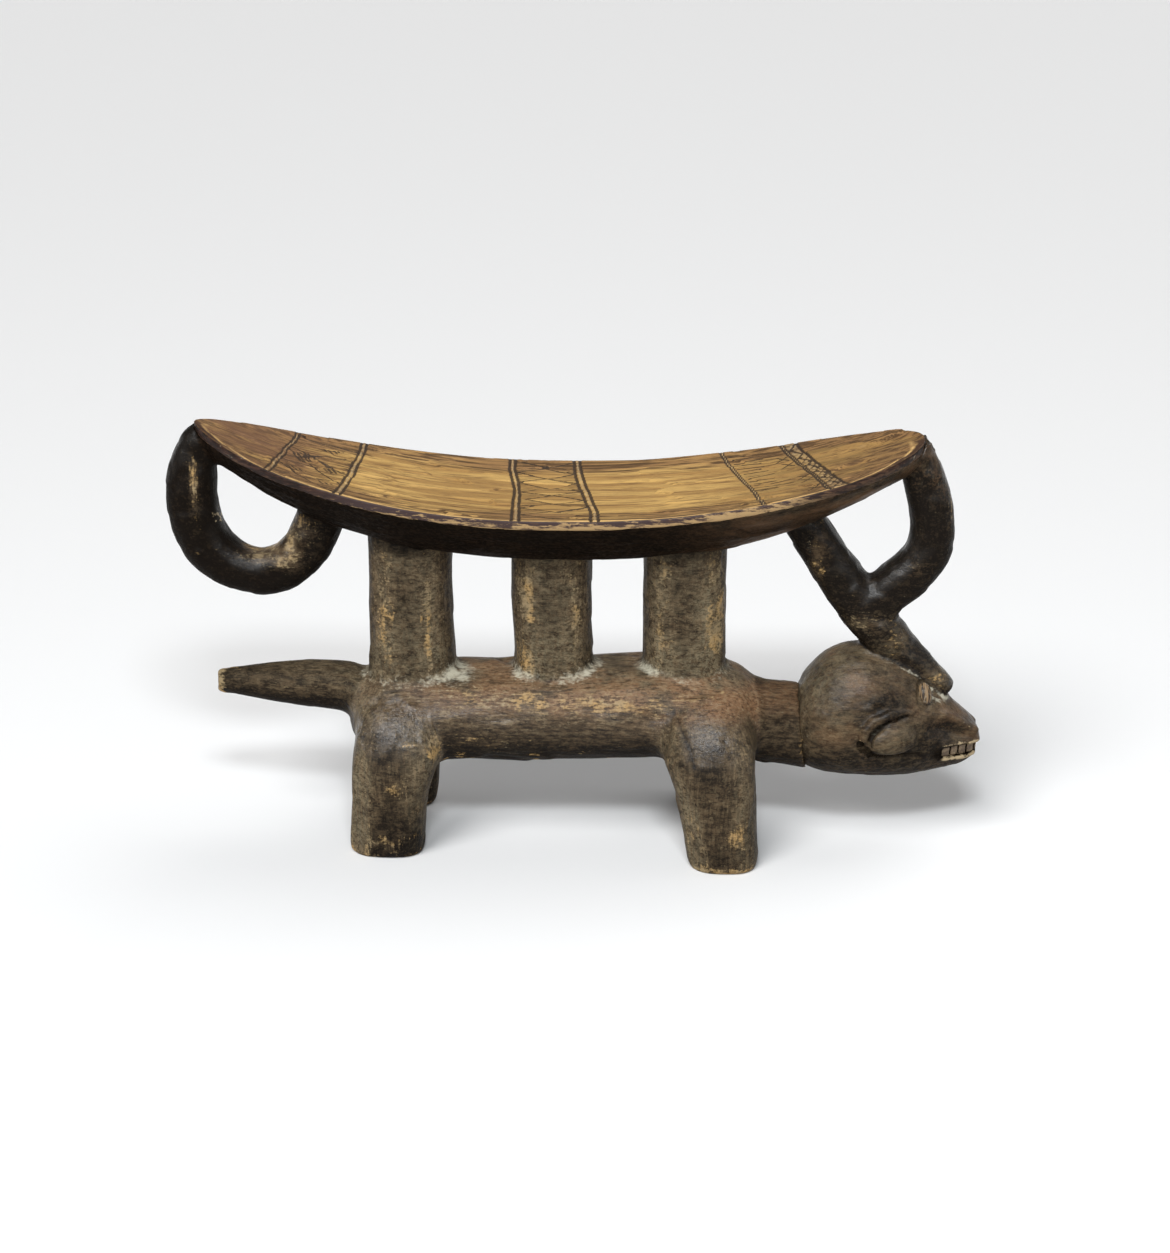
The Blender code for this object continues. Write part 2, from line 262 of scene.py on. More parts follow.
def tube(path, radii, sides=14):
    """A closed round-ended tube along 3-D points."""
    path = [Vector(p) for p in path]
    points, faces = [], []
    for k, centre in enumerate(path):
        tangent = (path[min(k + 1, len(path) - 1)] - path[max(k - 1, 0)]).normalized()
        side = tangent.cross(Vector((0, 1, 0))).normalized()
        up = side.cross(tangent)
        for j in range(sides):
            angle = 2 * math.pi * j / sides
            points.append(centre + (side * math.cos(angle) + up * math.sin(angle)) * radii[k])
    for k in range(len(path) - 1):
        for j in range(sides):
            a, b = k * sides + j, k * sides + (j + 1) % sides
            faces.append((a, b, b + sides, a + sides))
    faces.append(tuple(reversed(range(sides))))
    faces.append(tuple(range(len(points) - sides, len(points))))
    return np.array([p[:] for p in points]), faces


def ball(centre, radii, turn=(0, 0, 0), rings=14, sides=24):
    """A closed ellipsoid, turned by angles in degrees about X, Y and Z."""
    spin = np.array(Euler([math.radians(v) for v in turn]).to_matrix())
    down, around = np.arange(1, rings) * math.pi / rings, np.arange(sides) * 2 * math.pi / sides
    down, around = np.repeat(down, sides), np.tile(around, rings - 1)
    unit = np.stack([np.sin(down) * np.cos(around), np.sin(down) * np.sin(around), np.cos(down)], 1)
    points = (unit * radii) @ spin.T + centre
    faces = []
    for k in range(rings - 2):
        for j in range(sides):
            a, b = k * sides + j, k * sides + (j + 1) % sides
            faces.append((a + sides, b + sides, b, a))
    faces.append(tuple(range(sides)))
    faces.append(tuple(reversed(range(len(points) - sides, len(points)))))
    return points, faces


def make_piece(name, points, faces, node, material, marks):
    """A smooth piece on the one body, in the place of a CAD node, with its marks as attributes."""
    piece = new_object(name, points, faces)
    for mark, values in marks.items():
        piece.data.attributes.new(mark, "FLOAT", "POINT").data.foreach_set("value", values.astype(np.float32))
    piece.data.shade_smooth()
    piece.data.materials.append(material)
    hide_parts(node)
    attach(piece, "root")
    return piece


def release(skin, members, material):
    """Cuts the skin into one closed piece per member, with shared normals so that no seam shows."""
    normals = skin.normals()
    face_owner = skin.owner[skin.faces[:, 0]]
    for k, (node, slot) in enumerate(members):
        faces = skin.faces[face_owner == k]
        used, compact = np.unique(faces, return_inverse=True)
        faces = compact.reshape(-1, 4)
        points = skin.points[used]
        shading = normals[used]
        caps, centres, centre_normals = cap_fans(points, faces, shading)
        points = np.concatenate([points, centres]) if len(centres) else points
        shading = np.concatenate([shading, centre_normals]) if len(centres) else shading
        marks = {n: np.concatenate([v[used], np.zeros(len(centres))]) for n, v in skin.marks.items()}
        piece = make_piece("carved_" + node, points, list(faces) + caps, node, material, marks)
        piece.data.normals_split_custom_set_from_vertices(shading.tolist())


def cap_fans(points, faces, normals):
    """Fans that close every open border of a patch around a middle point sunk below the surface."""
    sides = np.concatenate([faces[:, [k, (k + 1) % 4]] for k in range(4)])
    keys = np.sort(sides, axis=1)
    _, index, counts = np.unique(keys, axis=0, return_index=True, return_counts=True)
    open_sides = sides[index[counts == 1]]
    parent = {}

    def root(v):
        while parent.setdefault(v, v) != v:
            parent[v] = parent[parent[v]]
            v = parent[v]
        return v

    for a, b in open_sides.tolist():
        parent[root(a)] = root(b)
    rings = {}
    for a, b in open_sides.tolist():
        rings.setdefault(root(a), []).append((a, b))
    caps, centres, centre_normals = [], [], []
    for pairs in rings.values():
        middle = len(points) + len(centres)
        loop = sorted({v for pair in pairs for v in pair})
        inward = -normals[loop].mean(0)
        centres.append(points[loop].mean(0) + inward * (0.5 if len(loop) < 12 else 4.0))
        centre_normals.append(normals[loop].mean(0))
        caps += [(b, a, middle) for a, b in pairs]
    return caps, np.array(centres), np.array(centre_normals)


# ---- torso: body, tail, legs, posts, neck

TORSO = [
    *(("body", "body"), ("tail", "tail")),
    *((f"leg_{end}_{hand}", "legs") for end in ("rear", "front") for hand in ("right", "left")),
    *((f"post_{place}", "posts") for place in ("rear", "middle", "front")),
    ("neck", "neck"),
]
LEGS, POSTS = (2, 3, 4, 5), (6, 7, 8)
BODY, TAIL, NECK = 0, 1, 9
POST_TOP_LIFT = 3.5  # the posts' skins reach into the seat's underside
CORNER_RUN, CORNER_RISE = 12.5, 9.0
SHOULDER_NOTCH = [(49.0, 64.0), (52.5, 84.0), (60.5, 70.0), (63.5, 61.0)]


def leg_corner(skin, leg):
    """How far each point stands outside the slanting plane that trims the leg's outer tail-side corner."""
    p = skin.points
    side = -1 if leg in (2, 4) else 1
    mine = skin.owner == leg
    heights = np.arange(2.0, 84.0, 4.0)
    back, outer = [], []
    for z in heights:
        slab = p[mine & (np.abs(p[:, 2] - z) < 3.0)]
        back.append(slab[:, 0].min())
        outer.append((side * slab[:, 1]).max())
    back = np.interp(p[:, 2], heights, np.convolve(np.pad(back, 2, "edge"), np.ones(5) / 5, "valid"))
    outer = np.interp(p[:, 2], heights, np.convolve(np.pad(outer, 2, "edge"), np.ones(5) / 5, "valid"))
    rise, run = np.array([CORNER_RISE, CORNER_RUN]) / math.hypot(CORNER_RUN, CORNER_RISE)
    outside = (back - p[:, 0]) * rise + (side * p[:, 1] - outer + CORNER_RISE) * run
    near = (p[:, 0] > back - 3) & (p[:, 0] < back + 30) & (side * p[:, 1] > 8) & (p[:, 2] < 84)
    return np.where(near, outside, -9.0), np.array([-rise, side * run, 0.0])


def trim_legs(skin):
    for leg in LEGS:
        outside, normal = leg_corner(skin, leg)
        share, z = skin.blur((skin.owner == leg).astype(float), 5), skin.points[:, 2]
        amount = np.maximum(outside, 0) * share * step(82, 72, z) * step(0.0, 3.0, z)
        skin.points = skin.points - amount[:, None] * normal


def torso_skin():
    solids = [solid_of(node) for node, _ in TORSO]
    for k in POSTS:
        points = solids[k][0]
        points[:, 2] += POST_TOP_LIFT * step(135, 155, points[:, 2])
    skin = fuse(solids, 1.0)
    skin.own(solids)
    skin.relax(12, inflate=0.5)
    trim_legs(skin)
    at_legs = skin.border_between(LEGS, (BODY, TAIL, *POSTS), 26)
    at_posts = skin.border_between(POSTS, (BODY,))
    at_ends = skin.border_between((TAIL, NECK), (BODY,))
    skin.relax(190, bell(at_legs, 6.0 + 6.5 * step(58, 76, skin.points[:, 2])))
    leg_zone = np.isin(skin.owner, LEGS).astype(float)
    shoulder = skin.blur(leg_zone, 8) * step(60, 72, skin.points[:, 2])
    skin.relax(170, shoulder)
    skin.relax(40, bell(at_posts, 3.4))
    skin.relax(70, bell(at_ends, 6.0))
    trim_legs(skin)
    p = skin.points
    ledge = bell(p[:, 2] - 75, 15) * step(-94, -106, p[:, 0]) * step(10, 20, np.abs(p[:, 1]))
    skin.relax(150, ledge)
    skin.relax(8, leg_zone)
    flare = skin.blur((skin.owner == NECK).astype(float), 3) * step(88, 121, skin.points[:, 0])
    neck_middle = np.array([0.0, 0.0, 76.0])
    skin.points[:, 1:] += (0.045 * flare)[:, None] * (skin.points - neck_middle)[:, 1:]
    strip = np.zeros(len(skin.points))
    for leg in LEGS:
        strip = np.maximum(strip, step(-0.9, 0.0, leg_corner(skin, leg)[0]))
    skin.marks["strip"] = skin.blur(strip, 2)
    p = skin.points
    share = skin.blur(np.isin(skin.owner, LEGS + POSTS).astype(float), 6)
    cuts = share * facets(p, (10, 10, 34), 0.055, 21) + (1 - share) * facets(p, (38, 11, 11), 0.05, 22)
    height = clouds(p, 34, 11) * 0.7 + skin.blur(cuts, 6)
    notch, _ = near_path(p[:, [0, 2]], SHOULDER_NOTCH)
    notch = bell(notch, 1.5) * step(18, 24, np.abs(p[:, 1]))
    foot = step(6, 0.5, p[:, 2])
    skin.push((height - 0.6 * notch) * (1 - foot))
    skin.marks["notch"] = notch
    skin.points[:, 2] = np.maximum(skin.points[:, 2], 0.0)
    skin.marks["seam"] = bell(at_posts, 3.6) + 0.3 * bell(at_legs, 4.0)
    skin.marks["spread"] = bell(at_posts, 8.5)
    skin.marks["upright"] = share
    return skin


# ---- head

HEAD = [
    *((node, "head") for node in ("skull", "upper_jaw", "lower_jaw", "ear_right", "ear_left")),
    *((node, "horns") for node in ("horn_long", "horn_hooked")),
]
EAR_RIM = [
    *((178, 82.3), (171.5, 83.2), (163.5, 82.6), (156.8, 79.8)),
    *((152.6, 75), (151.3, 69.5), (152.4, 65.0)),
]
EAR_RIM_R = [0.9, 1.9, 2.9, 3.4, 3.3, 2.7, 1.4]
EAR_FOLD = [(155.4, 65.5), (155.2, 70.3), (156.9, 73.4), (160.7, 76.3), (165.2, 79.4), (174, 81.0)]
EAR_UNDERCUT = [(150.0, 66.9), (152.5, 62.3), (156.2, 59.0), (164.2, 58.6), (173.2, 58.2), (182.0, 58.0)]
SNOUT_RIDGE = [(188, 80.8), (198, 75.4), (206.5, 69.8), (212, 65.6)]
SNOUT_HOLLOW = [(189, 72.0), (196, 69.5), (205, 64.8)]
LIP_UPPER = [(193.5, 61.2), (204, 60.4), (214, 60.0)]
LIP_LOWER = [(193.0, 52.0), (204, 51.6), (212, 51.8)]
EYE_XZ = (183.8, 90.0)


def surface_y(solid, x, z):
    """Half width of a solid at (x, z), read on its right side."""
    tree = BVHTree.FromPolygons([Vector(p) for p in solid[0]], solid[1])
    hit = tree.ray_cast(Vector((x, -200, z)), Vector((0, 1, 0)))
    return -hit[0].y if hit[0] else 0.0


def under_seat(points):
    """Lowers the points of a bar's end so that it stays below the seat's rim."""
    inside = np.abs(points[:, 1]) < half_width(points[:, 0]) - 0.5
    ceiling = rim_z(points[:, 0]) - np.where(inside, BAND + 0.8, 0.2)
    points[:, 2] = np.minimum(points[:, 2], ceiling)


def head_skin():
    solids = [solid_of(node) for node, _ in HEAD]
    skull = solids[0]
    under_seat(solids[6][0])
    bar_root = tube([(122, 0, 172), (113.5, 0, 187)], (10.4, 10.0), 24)
    bar_tip = ball((173.5, 0, 216.5), (10.6, 12.0, 12.5))
    under_seat(bar_tip[0])
    extra = [bar_root, bar_tip]
    for side in (-1, 1):
        rim = [(x, side * (surface_y(skull, x, z) + 0.7), z) for x, z in EAR_RIM]
        extra.append(tube(rim, EAR_RIM_R))
        lobe_y = side * (surface_y(skull, 166, 68) - 0.3)
        extra.append(ball((166.5, lobe_y, 68.0), (13.5, 4.6, 8.4), (0, -6, side * -15)))
    skin = fuse(solids[:3] + solids[5:] + extra, 0.66)
    skin.own(solids)
    skin.relax(8, inflate=0.5)
    at_horns = skin.border_between([5, 6], [0, 1, 2, 3, 4])
    crossing = skin.border_between([5], [6])
    back = step(176, 160, skin.points[:, 0])
    skin.relax(130, bell(at_horns, 2.2 + 5.5 * back))
    skin.relax(90, bell(crossing, 6.0))
    p = skin.points
    flat = p[:, [0, 2]]
    horns = skin.blur((skin.owner > 4).astype(float), 4)
    sideways = step(6, 12, np.abs(p[:, 1])) * (1 - horns)
    fold, _ = near_path(flat, EAR_FOLD)
    undercut, along = near_path(flat, EAR_UNDERCUT)
    ridge, ridge_run = near_path(flat, SNOUT_RIDGE)
    hollow, _ = near_path(flat, SNOUT_HOLLOW)
    upper, _ = near_path(flat, LIP_UPPER)
    lower, _ = near_path(flat, LIP_LOWER)
    from_eye = flat - EYE_XZ
    eye = np.hypot(from_eye[:, 0] / 3.4, from_eye[:, 1] / 6.4)
    eye_ring = bell(eye - 1.1, 0.24) * step(4, 7, np.abs(p[:, 1])) * (1 - horns)
    on_side = step(3, 6, np.abs(p[:, 1])) * (1 - horns)
    height = clouds(p, 26, 31) * 0.5
    height -= 1.7 * bell(fold, 1.05) * sideways
    height -= (3.4 - 2.0 * along) * bell(undercut, 1.9) * sideways
    height += 2.3 * step(0.0, 0.3, ridge_run) * bell(ridge, 1.9) * on_side
    height -= 2.2 * bell(hollow, 4.6) * on_side
    height += (0.6 * bell(upper, 1.0) + 0.7 * bell(lower, 1.0)) * (1 - horns)
    height -= 1.2 * eye_ring + 1.0 * step(1.05, 0.85, eye) * on_side
    height += skin.blur(facets(p, (11, 9, 9), 0.06, 32), 12) * (1 - horns)
    height += skin.blur(facets(p, (13, 13, 13), 0.07, 42), 10) * horns
    skin.push(height)
    skin.relax(2)
    folds = 0.7 * bell(fold, 1.0) + (1.2 - 0.6 * along) * bell(undercut, 1.5)
    skin.marks["fold"] = np.clip(folds, 0, 1) * sideways
    skin.marks["lip"] = (bell(upper, 0.9) + bell(lower, 1.3)) * step(191, 197, flat[:, 0]) * (1 - horns)
    skin.marks["eye_ring"] = eye_ring * step(-1.5, 1.5, from_eye[:, 0]) * step(-7.0, -4.0, from_eye[:, 1])
    skin.marks["crease"] = bell(at_horns, 1.2)
    skin.marks["bars"] = horns
    return skin


# ---- top members: hull of the seat, loop, horns

UPPER = [("seat", "seat"), ("tail_loop", "loop")]

SEAT_LOW, SEAT_HIGH = ([v / MM for v in corner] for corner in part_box("seat"))
SEAT_CENTRE = (SEAT_LOW[0] + SEAT_HIGH[0]) / 2
SEAT_HALF = (SEAT_HIGH[0] - SEAT_LOW[0]) / 2 / 0.998
SEAT_WIDE = SEAT_HIGH[1]
SEAT_TOP = SEAT_HIGH[2]
REAR_RISE, REAR_POWER = 34.7, 2.2
FRONT_RISE, FRONT_POWER = 31.6, 2.05
RIM_LOW = SEAT_TOP - REAR_RISE * 0.998**REAR_POWER
BAND = 5.0
DISH = 3.5


def seat_t(x):
    return np.clip((np.asarray(x, dtype=float) - SEAT_CENTRE) / SEAT_HALF, -0.998, 0.998)


def half_width(x):
    t = seat_t(x)
    a = np.abs(t)
    return SEAT_WIDE * np.where(t < 0, (1 - a**3) ** 0.65, (1 - a**4) ** 0.47)


def rim_z(x):
    t = seat_t(x)
    a = np.abs(t)
    return RIM_LOW + np.where(t < 0, REAR_RISE * a**REAR_POWER, FRONT_RISE * a**FRONT_POWER)


def upper_skin():
    solids = [solid_of(node) for node, _ in UPPER]
    hull = solids[0][0]
    share = np.abs(hull[:, 1]) / np.maximum(half_width(hull[:, 0]), 1.0)
    ceiling = rim_z(hull[:, 0]) - BAND + 1.0 - 3.5 * (1 - np.clip(share, 0, 1) ** 6)
    above = hull[:, 2] > ceiling
    hull[above, 2] = ceiling[above]
    hull[above, 1] -= np.sign(hull[above, 1]) * np.minimum(0.5, np.abs(hull[above, 1]))
    wrap = ball((-192.0, 0, 219.5), (9.6, 10.0, 12.0))
    for end in (solids[1], wrap):
        under_seat(end[0])
    skin = fuse([*solids, wrap], 1.0)
    skin.own(solids)
    skin.relax(10, inflate=0.5)
    skin.relax(40, bell(skin.border_between([1], [0]), 4.0))
    p = skin.points
    bars = skin.blur((skin.owner > 0).astype(float), 4)
    height = clouds(p, 30, 41) * 0.55
    height += skin.blur(facets(p, (13, 13, 13), 0.07, 42), 6) * bars
    height += skin.blur(facets(p, (40, 10, 10), 0.05, 43), 6) * (1 - bars)
    under_edge = step(-1.0, -5.0, p[:, 2] - rim_z(p[:, 0]) + BAND)
    skin.push(height * np.maximum(under_edge, bars))
    skin.marks["bars"] = bars
    return skin


# ---- where the wood is dusty, worn, sooty or red


def blob(p, centre, radii):
    """1 at a centre, fading to 0 at about two radii."""
    q = (p - np.asarray(centre, dtype=float)) / np.asarray(radii, dtype=float)
    return np.exp(-(q**2).sum(1))


def blobs(p, rows):
    """Sum of soft blobs; each row has a strength, a centre and radii."""
    return sum(strength * blob(p, centre, radii) for strength, centre, radii in rows)


def common_marks(skin, fine, wide):
    """Marks that every skin gets from its own shape: hollows, worn ridges, and the downward-facing undersides
    that get painted shade.
    """
    p = skin.points
    small, large = skin.hollowness(fine), skin.hollowness(wide)
    skin.marks["hollow"] = np.clip(small / 0.12, -1, 1)
    ridge = step(0.02, 0.14, -small) + step(0.25, 1.2, -large) * 0.6
    patches = step(-0.05, 0.55, clouds(p, (22, 14, 18), 51))
    skin.marks["wear"] = np.clip(ridge * (0.25 + 0.75 * patches), 0, 1) * 0.8
    skin.marks["dust"] = np.clip(step(0.25, 1.3, large) * 0.45, 0, 1)
    lift = skin.blur(skin.normals()[:, 2], 4)
    # under: downward-facing surfaces, darkened later as painted shade
    skin.marks["under"] = step(0.05, -0.7, lift)
    skin.marks["up"] = step(0.02, 0.42, lift)
    for name in ("soot_and_shade", "warm", "film", "pale", "black_patina_and_shade", "gloss"):
        skin.marks[name] = np.zeros(len(p))
    skin.marks.setdefault("upright", np.zeros(len(p)))


POST_X, POST_RADIUS = (-87.5, -13.0, 57.0), 21
POST_WEAR = (  # per post: where across its face the ochre patches lie, how wide they are, how strong
    ((-0.62, 0.30, 0.75), (0.50, 0.13, 0.85)),
    ((-0.58, 0.30, 1.0), (0.62, 0.22, 0.85)),
    ((-0.50, 0.26, 0.85), (0.78, 0.26, 1.2)),
)
DUST_HEAPS = (
    (1.0, (-62, -14, 92), (12, 18, 12)),
    (0.55, (-36, -14, 98), (10, 16, 10)),
    (0.7, (12, -14, 99), (11, 16, 10)),
    (0.75, (33, -14, 102), (10, 16, 12)),
    (0.35, (-112, -14, 90), (10, 14, 8)),
    (0.3, (-13, -20, 92), (22, 10, 8)),
)
WORN_SPOTS = (
    (1.0, (-92, -45, 42), (7, 8, 7)),
    (0.9, (-100, -44, 10), (10, 8, 4)),
    (1.0, (86, -52, 22), (6, 8, 7)),
    (0.8, (90, -52, 12), (4, 8, 5)),
    (0.8, (82, -50, 2), (14, 8, 2.5)),
    (0.5, (-50, -33, 66), (26, 8, 5)),
)
WORN_STRIPES = (
    (0.85, (-44, -29, 87), (34, 12, 6.5)),
    (0.9, (24, -29, 86), (42, 12, 5.5)),
    (0.6, (88, -38, 66), (5, 12, 14)),
    (0.7, (-73, -38, 62), (4, 10, 12)),
)
RUMP = ((1.3, (-114, -30, 84), (11, 26, 17)), (1.0, (-114, 30, 84), (11, 26, 17)))
BAR_WEAR = (
    (0.7, (-197.5, -10, 195), (3.0, 12, 18)),
    (1.0, (-166, 0, 158), (15, 14, 6)),
    (1.1, (-150, -6, 160), (9, 12, 9)),
    (0.7, (-141, -8, 176), (10, 12, 10)),
    (0.75, (126, -10, 166), (5, 12, 16)),
    (0.6, (152, -10, 128), (12, 12, 5)),
    (0.3, (176, -10, 158), (9, 12, 6)),
    (0.45, (168, -8, 116), (8, 12, 9)),
    (0.4, (193, -6, 190), (3, 12, 16)),
    (0.8, (190, -8, 96), (8, 10, 5)),
)
# dark patches on the cheeks, both sides; the one at (196, 14, 70) is painted shade in the snout's hollow
HEAD_SOOT_AND_SHADE = (
    (0.75, (184, 21, 65), (11, 14, 12)),
    (0.7, (196, 14, 70), (9, 12, 5.5)),
    (0.55, (163, 26, 88), (13, 20, 8)),
)


def paint_torso(skin):
    common_marks(skin, 3, 26)
    p, m = skin.points, skin.marks
    x, _, z = p.T
    body, tail, neck = skin.owner == BODY, skin.owner == TAIL, skin.owner == NECK
    legs, posts = np.isin(skin.owner, LEGS), np.isin(skin.owner, POSTS)
    low_leg = legs * step(82, 66, z)
    seam, spread, strip, notch = (m.pop(name) for name in ("seam", "spread", "strip", "notch"))

    # dust at the foot of each post
    rough = np.clip(0.62 + 0.8 * clouds(p, 7, 61), 0, 1)
    bright = blobs(p, DUST_HEAPS)
    m["dust"] += seam * rough * (0.32 + 0.5 * bright) + spread * (0.3 + 0.7 * rough) * (0.18 + 0.55 * bright)
    m["dust"] += 1.1 * rough * blob(p, (-62, -14, 98), (9, 13, 9)) * body

    # ochre where the finish is worn through
    off_axis = (x - np.select([skin.owner == k for k in POSTS], POST_X)) / POST_RADIUS
    streaky = np.clip(0.5 + 1.35 * clouds(p, (6, 9, 13), 73), 0, 1)
    speckle = np.clip(0.55 + 0.9 * clouds(p, 6, 79), 0, 1)
    patches = np.zeros(len(p))
    for post, places in zip(POSTS, POST_WEAR):
        for centre, width, strength in places:
            patches += (skin.owner == post) * bell(off_axis - centre, width) * strength
    patches *= 0.68 * streaky * step(178, 160, z)
    spots = step(0.30, 0.62, clouds(p, (9, 7, 5), 75))
    feet = legs * (step(9, 1, z) * 0.45 + spots * 0.45 + 0.55 * strip * streaky)
    low_body = body * step(64, 50, z) * step(0.15, 0.6, clouds(p, (10, 5, 4), 77)) * 0.75
    m["wear"] += skin.blur(patches, 2) + skin.blur(feet, 2) * speckle * 0.8 + low_body
    m["wear"] += (0.72 * blobs(p, WORN_SPOTS) + 0.85 * blobs(p, WORN_STRIPES)) * (0.3 + 0.7 * speckle)
    m["wear"] += 0.6 * tail * step(-186, -192, x)

    # grey film on the posts, the back, the legs' sides and the tail
    across = np.where(x < 0, (x + 101) / 19, (x - 76.5 + 0.1 * z) / (18 + 0.1 * z))
    flanks = step(0.35, 0.8, np.abs(across)) * low_leg
    rump = np.clip(blobs(p, RUMP), 0, 1)
    # painted light: the triangle of the front leg's shoulder facet is made paler and less dark, standing in
    # for its turn to the light
    facet = blob(p, (54.5, -32, 70), (4.5, 14, 8))
    film = posts * (0.62 * step(1.0, 0.5, np.abs(off_axis)) + 0.5 * step(128, 108, z))
    film += 0.35 * (skin.owner == POSTS[-1]) + 0.5 * body * step(86, 96, z) + 0.8 * facet
    film += low_leg * (0.12 + 0.75 * strip) + 0.5 * flanks + 0.7 * rump
    film += 0.15 * neck * step(52, 62, z) + 0.45 * tail * step(78, 92, z)
    m["film"] = skin.blur(np.clip(film, 0, 1), 6) * np.clip(0.75 + 0.7 * clouds(p, 18, 71), 0, 1)

    # darker towards the bottom and on the legs' faces; painted shadow on the posts' tops under the seat
    dark = body * (0.66 * step(78, 67, z) + 0.25 * step(70, 58, z)) + neck * (0.60 + 0.12 * step(82, 60, z))
    dark += tail * (0.45 + 0.55 * step(86, 76, z) + 0.3 * step(-150, -180, x))
    dark += low_leg * (0.75 - 0.55 * strip + 0.6 * clouds(p, (12, 16, 26), 81) - 0.14 * bell(z - 46, 13))
    dark += legs * step(34, 14, z) * (0.15 + 0.25 * (x < 0)) - 0.42 * flanks
    # painted shadow on the posts' tops under the seat, painted shade down the posts' left and right sides
    dark += posts * (0.8 * step(158, 172, z) + 0.5 * bell(np.abs(off_axis) - 1.02, 0.12))
    dark += posts * bell(off_axis + 0.02, 0.42) * (0.42 + 0.5 * clouds(p, (10, 10, 22), 87))
    # painted shade on downward-facing surfaces
    m["soot_and_shade"] = skin.blur(np.clip(dark, 0, 1), 6) + 0.45 * m["under"]
    # less dark on the shoulder facet as painted light; a dark line along the shoulder notch as painted shade
    # in its groove
    m["soot_and_shade"] = np.clip(m["soot_and_shade"] - 0.35 * facet, 0, 1.5) + 0.45 * notch

    # reddish back, upright grain on the legs, and the polish of the shoulders
    top = (body | legs) * step(76, 86, z) * np.clip(0.8 + 0.7 * clouds(p, (40, 16, 14), 83), 0, 1)
    top = top * (0.2 + 0.8 * step(-98, -66, x))
    nose_end = body * blob(p, (80, -25, 82), (26, 22, 16)) * 0.9
    m["warm"] = skin.blur(np.clip(top + nose_end + neck * step(72, 86, z), 0, 1), 6)
    upright = 0.5 * m["upright"] + 0.3 * low_leg + 0.8 * strip + 0.5 * flanks + 0.7 * rump
    m["upright"] = np.clip(upright, 0, 1)
    beyond_facet = np.where(x < 0, 1.0, step(52, 68, x))
    shoulders = (1.4 - 0.55 * (x > 0)) * beyond_facet * legs * bell(z - 72, 16) * (1 - strip)
    gloss = np.clip(shoulders + body * (0.25 + 0.7 * bell(z - 76, 7)), 0, 1.3)
    m["gloss"] = skin.blur(gloss, 6) * (0.3 + 0.7 * m.pop("up"))


def paint_bars(skin, share):
    """Near-black polished bars with ochre where hands wore them; `share` is 1 on the bars."""
    p, m = skin.points, skin.marks
    x, _, z = p.T
    rough = np.clip(0.62 + 0.95 * clouds(p, 5.5, 101), 0, 1)
    worn = blobs(p, BAR_WEAR)
    grey = 0.55 * step(150, 118, z) * step(100, 140, x) + 0.2
    reddish = step(190, 214, z) * step(150, 170, x)
    dark = 1.5 - worn - 0.95 * grey * (0.6 + 0.8 * clouds(p, 16, 103)) - 0.5 * reddish
    on_bars = {
        "soot_and_shade": np.clip(dark, 0, 1.5),
        "film": np.clip(grey * rough, 0, 1),
        "warm": 0.15 + 0.85 * reddish,
        "upright": step(150, 190, z),
        "pale": blob(p, (-186, -4, 177), (5, 12, 6)) * step(0.1, 0.35, clouds(p, 2.6, 105)),
        "gloss": 0.9 * m.pop("up"),
    }
    for name, values in on_bars.items():
        m[name] = m[name] * (1 - share) + share * values
    m["wear"] = m["wear"] * (1 - 0.55 * share) + share * worn * rough * 0.9
    m["dust"] *= 1 - 0.5 * share


def paint_head(skin):
    common_marks(skin, 3, 30)
    p, m = skin.points, skin.marks
    x, y, z = p.T
    fold, lip, ring, crease, horns = (m.pop(name) for name in ("fold", "lip", "eye_ring", "crease", "bars"))
    either_side = np.stack([x, np.abs(y), z], 1)
    m["soot_and_shade"] = np.clip(0.30 + step(70, 48, z) * 0.6 + 0.55 * clouds(p, 14, 97), 0, 1)
    # plus painted shade in the snout's hollow and on downward-facing surfaces
    m["soot_and_shade"] = np.clip(m["soot_and_shade"] + blobs(either_side, HEAD_SOOT_AND_SHADE) + 0.45 * m["under"], 0, 1)
    m["film"] = np.clip(0.22 + 0.6 * step(160, 125, x) * step(60, 95, z) + 0.6 * clouds(p, 16, 93), 0, 1)
    m["warm"] = np.clip(0.05 + blob(p, (160, -24, 98), (18, 26, 8)) * 0.5 + 0.6 * clouds(p, 12, 95), 0, 0.75)
    m["warm"] += 0.45 * step(186, 196, x)
    m["gloss"] = (0.45 + 0.3 * step(186, 196, x)) * m["up"]
    m["wear"] *= 0.45 * (1 - step(0.02, 0.3, skin.blur(fold, 9)))
    paint_bars(skin, horns)
    slanting = np.stack([0.84 * x - 0.54 * z, y, 0.54 * x + 0.84 * z], 1)
    scratches = step(-0.15, 0.45, noise(slanting, (8, 6, 1.5), 107))
    rough = np.clip(0.62 + 0.9 * clouds(p, 4, 91), 0, 1)
    collar = bell(x - 121.0 - 0.012 * (z - 70) ** 2 * (z < 70), 1.6)
    brow = blob(either_side, (192.6, 9, 88.0), (5.4, 8, 4.6))
    m["dust"] += crease * step(150, 174, x) * (0.1 + 0.6 * rough) * (0.3 + 0.7 * scratches)
    m["dust"] += 1.5 * ring * rough + 0.3 * collar * rough + 1.4 * brow * scratches * (1 - horns)
    mouth = step(192, 196, x) * step(50.5, 52.5, z) * step(61, 59, z)
    corner = blob(either_side, (191.5, 16, 56), (4.5, 9, 4.0))
    # painted shade: black in the ear's fold and undercut, inside the open mouth and at its corners
    m["black_patina_and_shade"] = np.clip(fold**1.5 * 0.9 + mouth + corner, 0, 1)
    m["pale"] = np.clip(lip * (0.7 + 0.7 * clouds(p, 4, 99)), 0, 1)


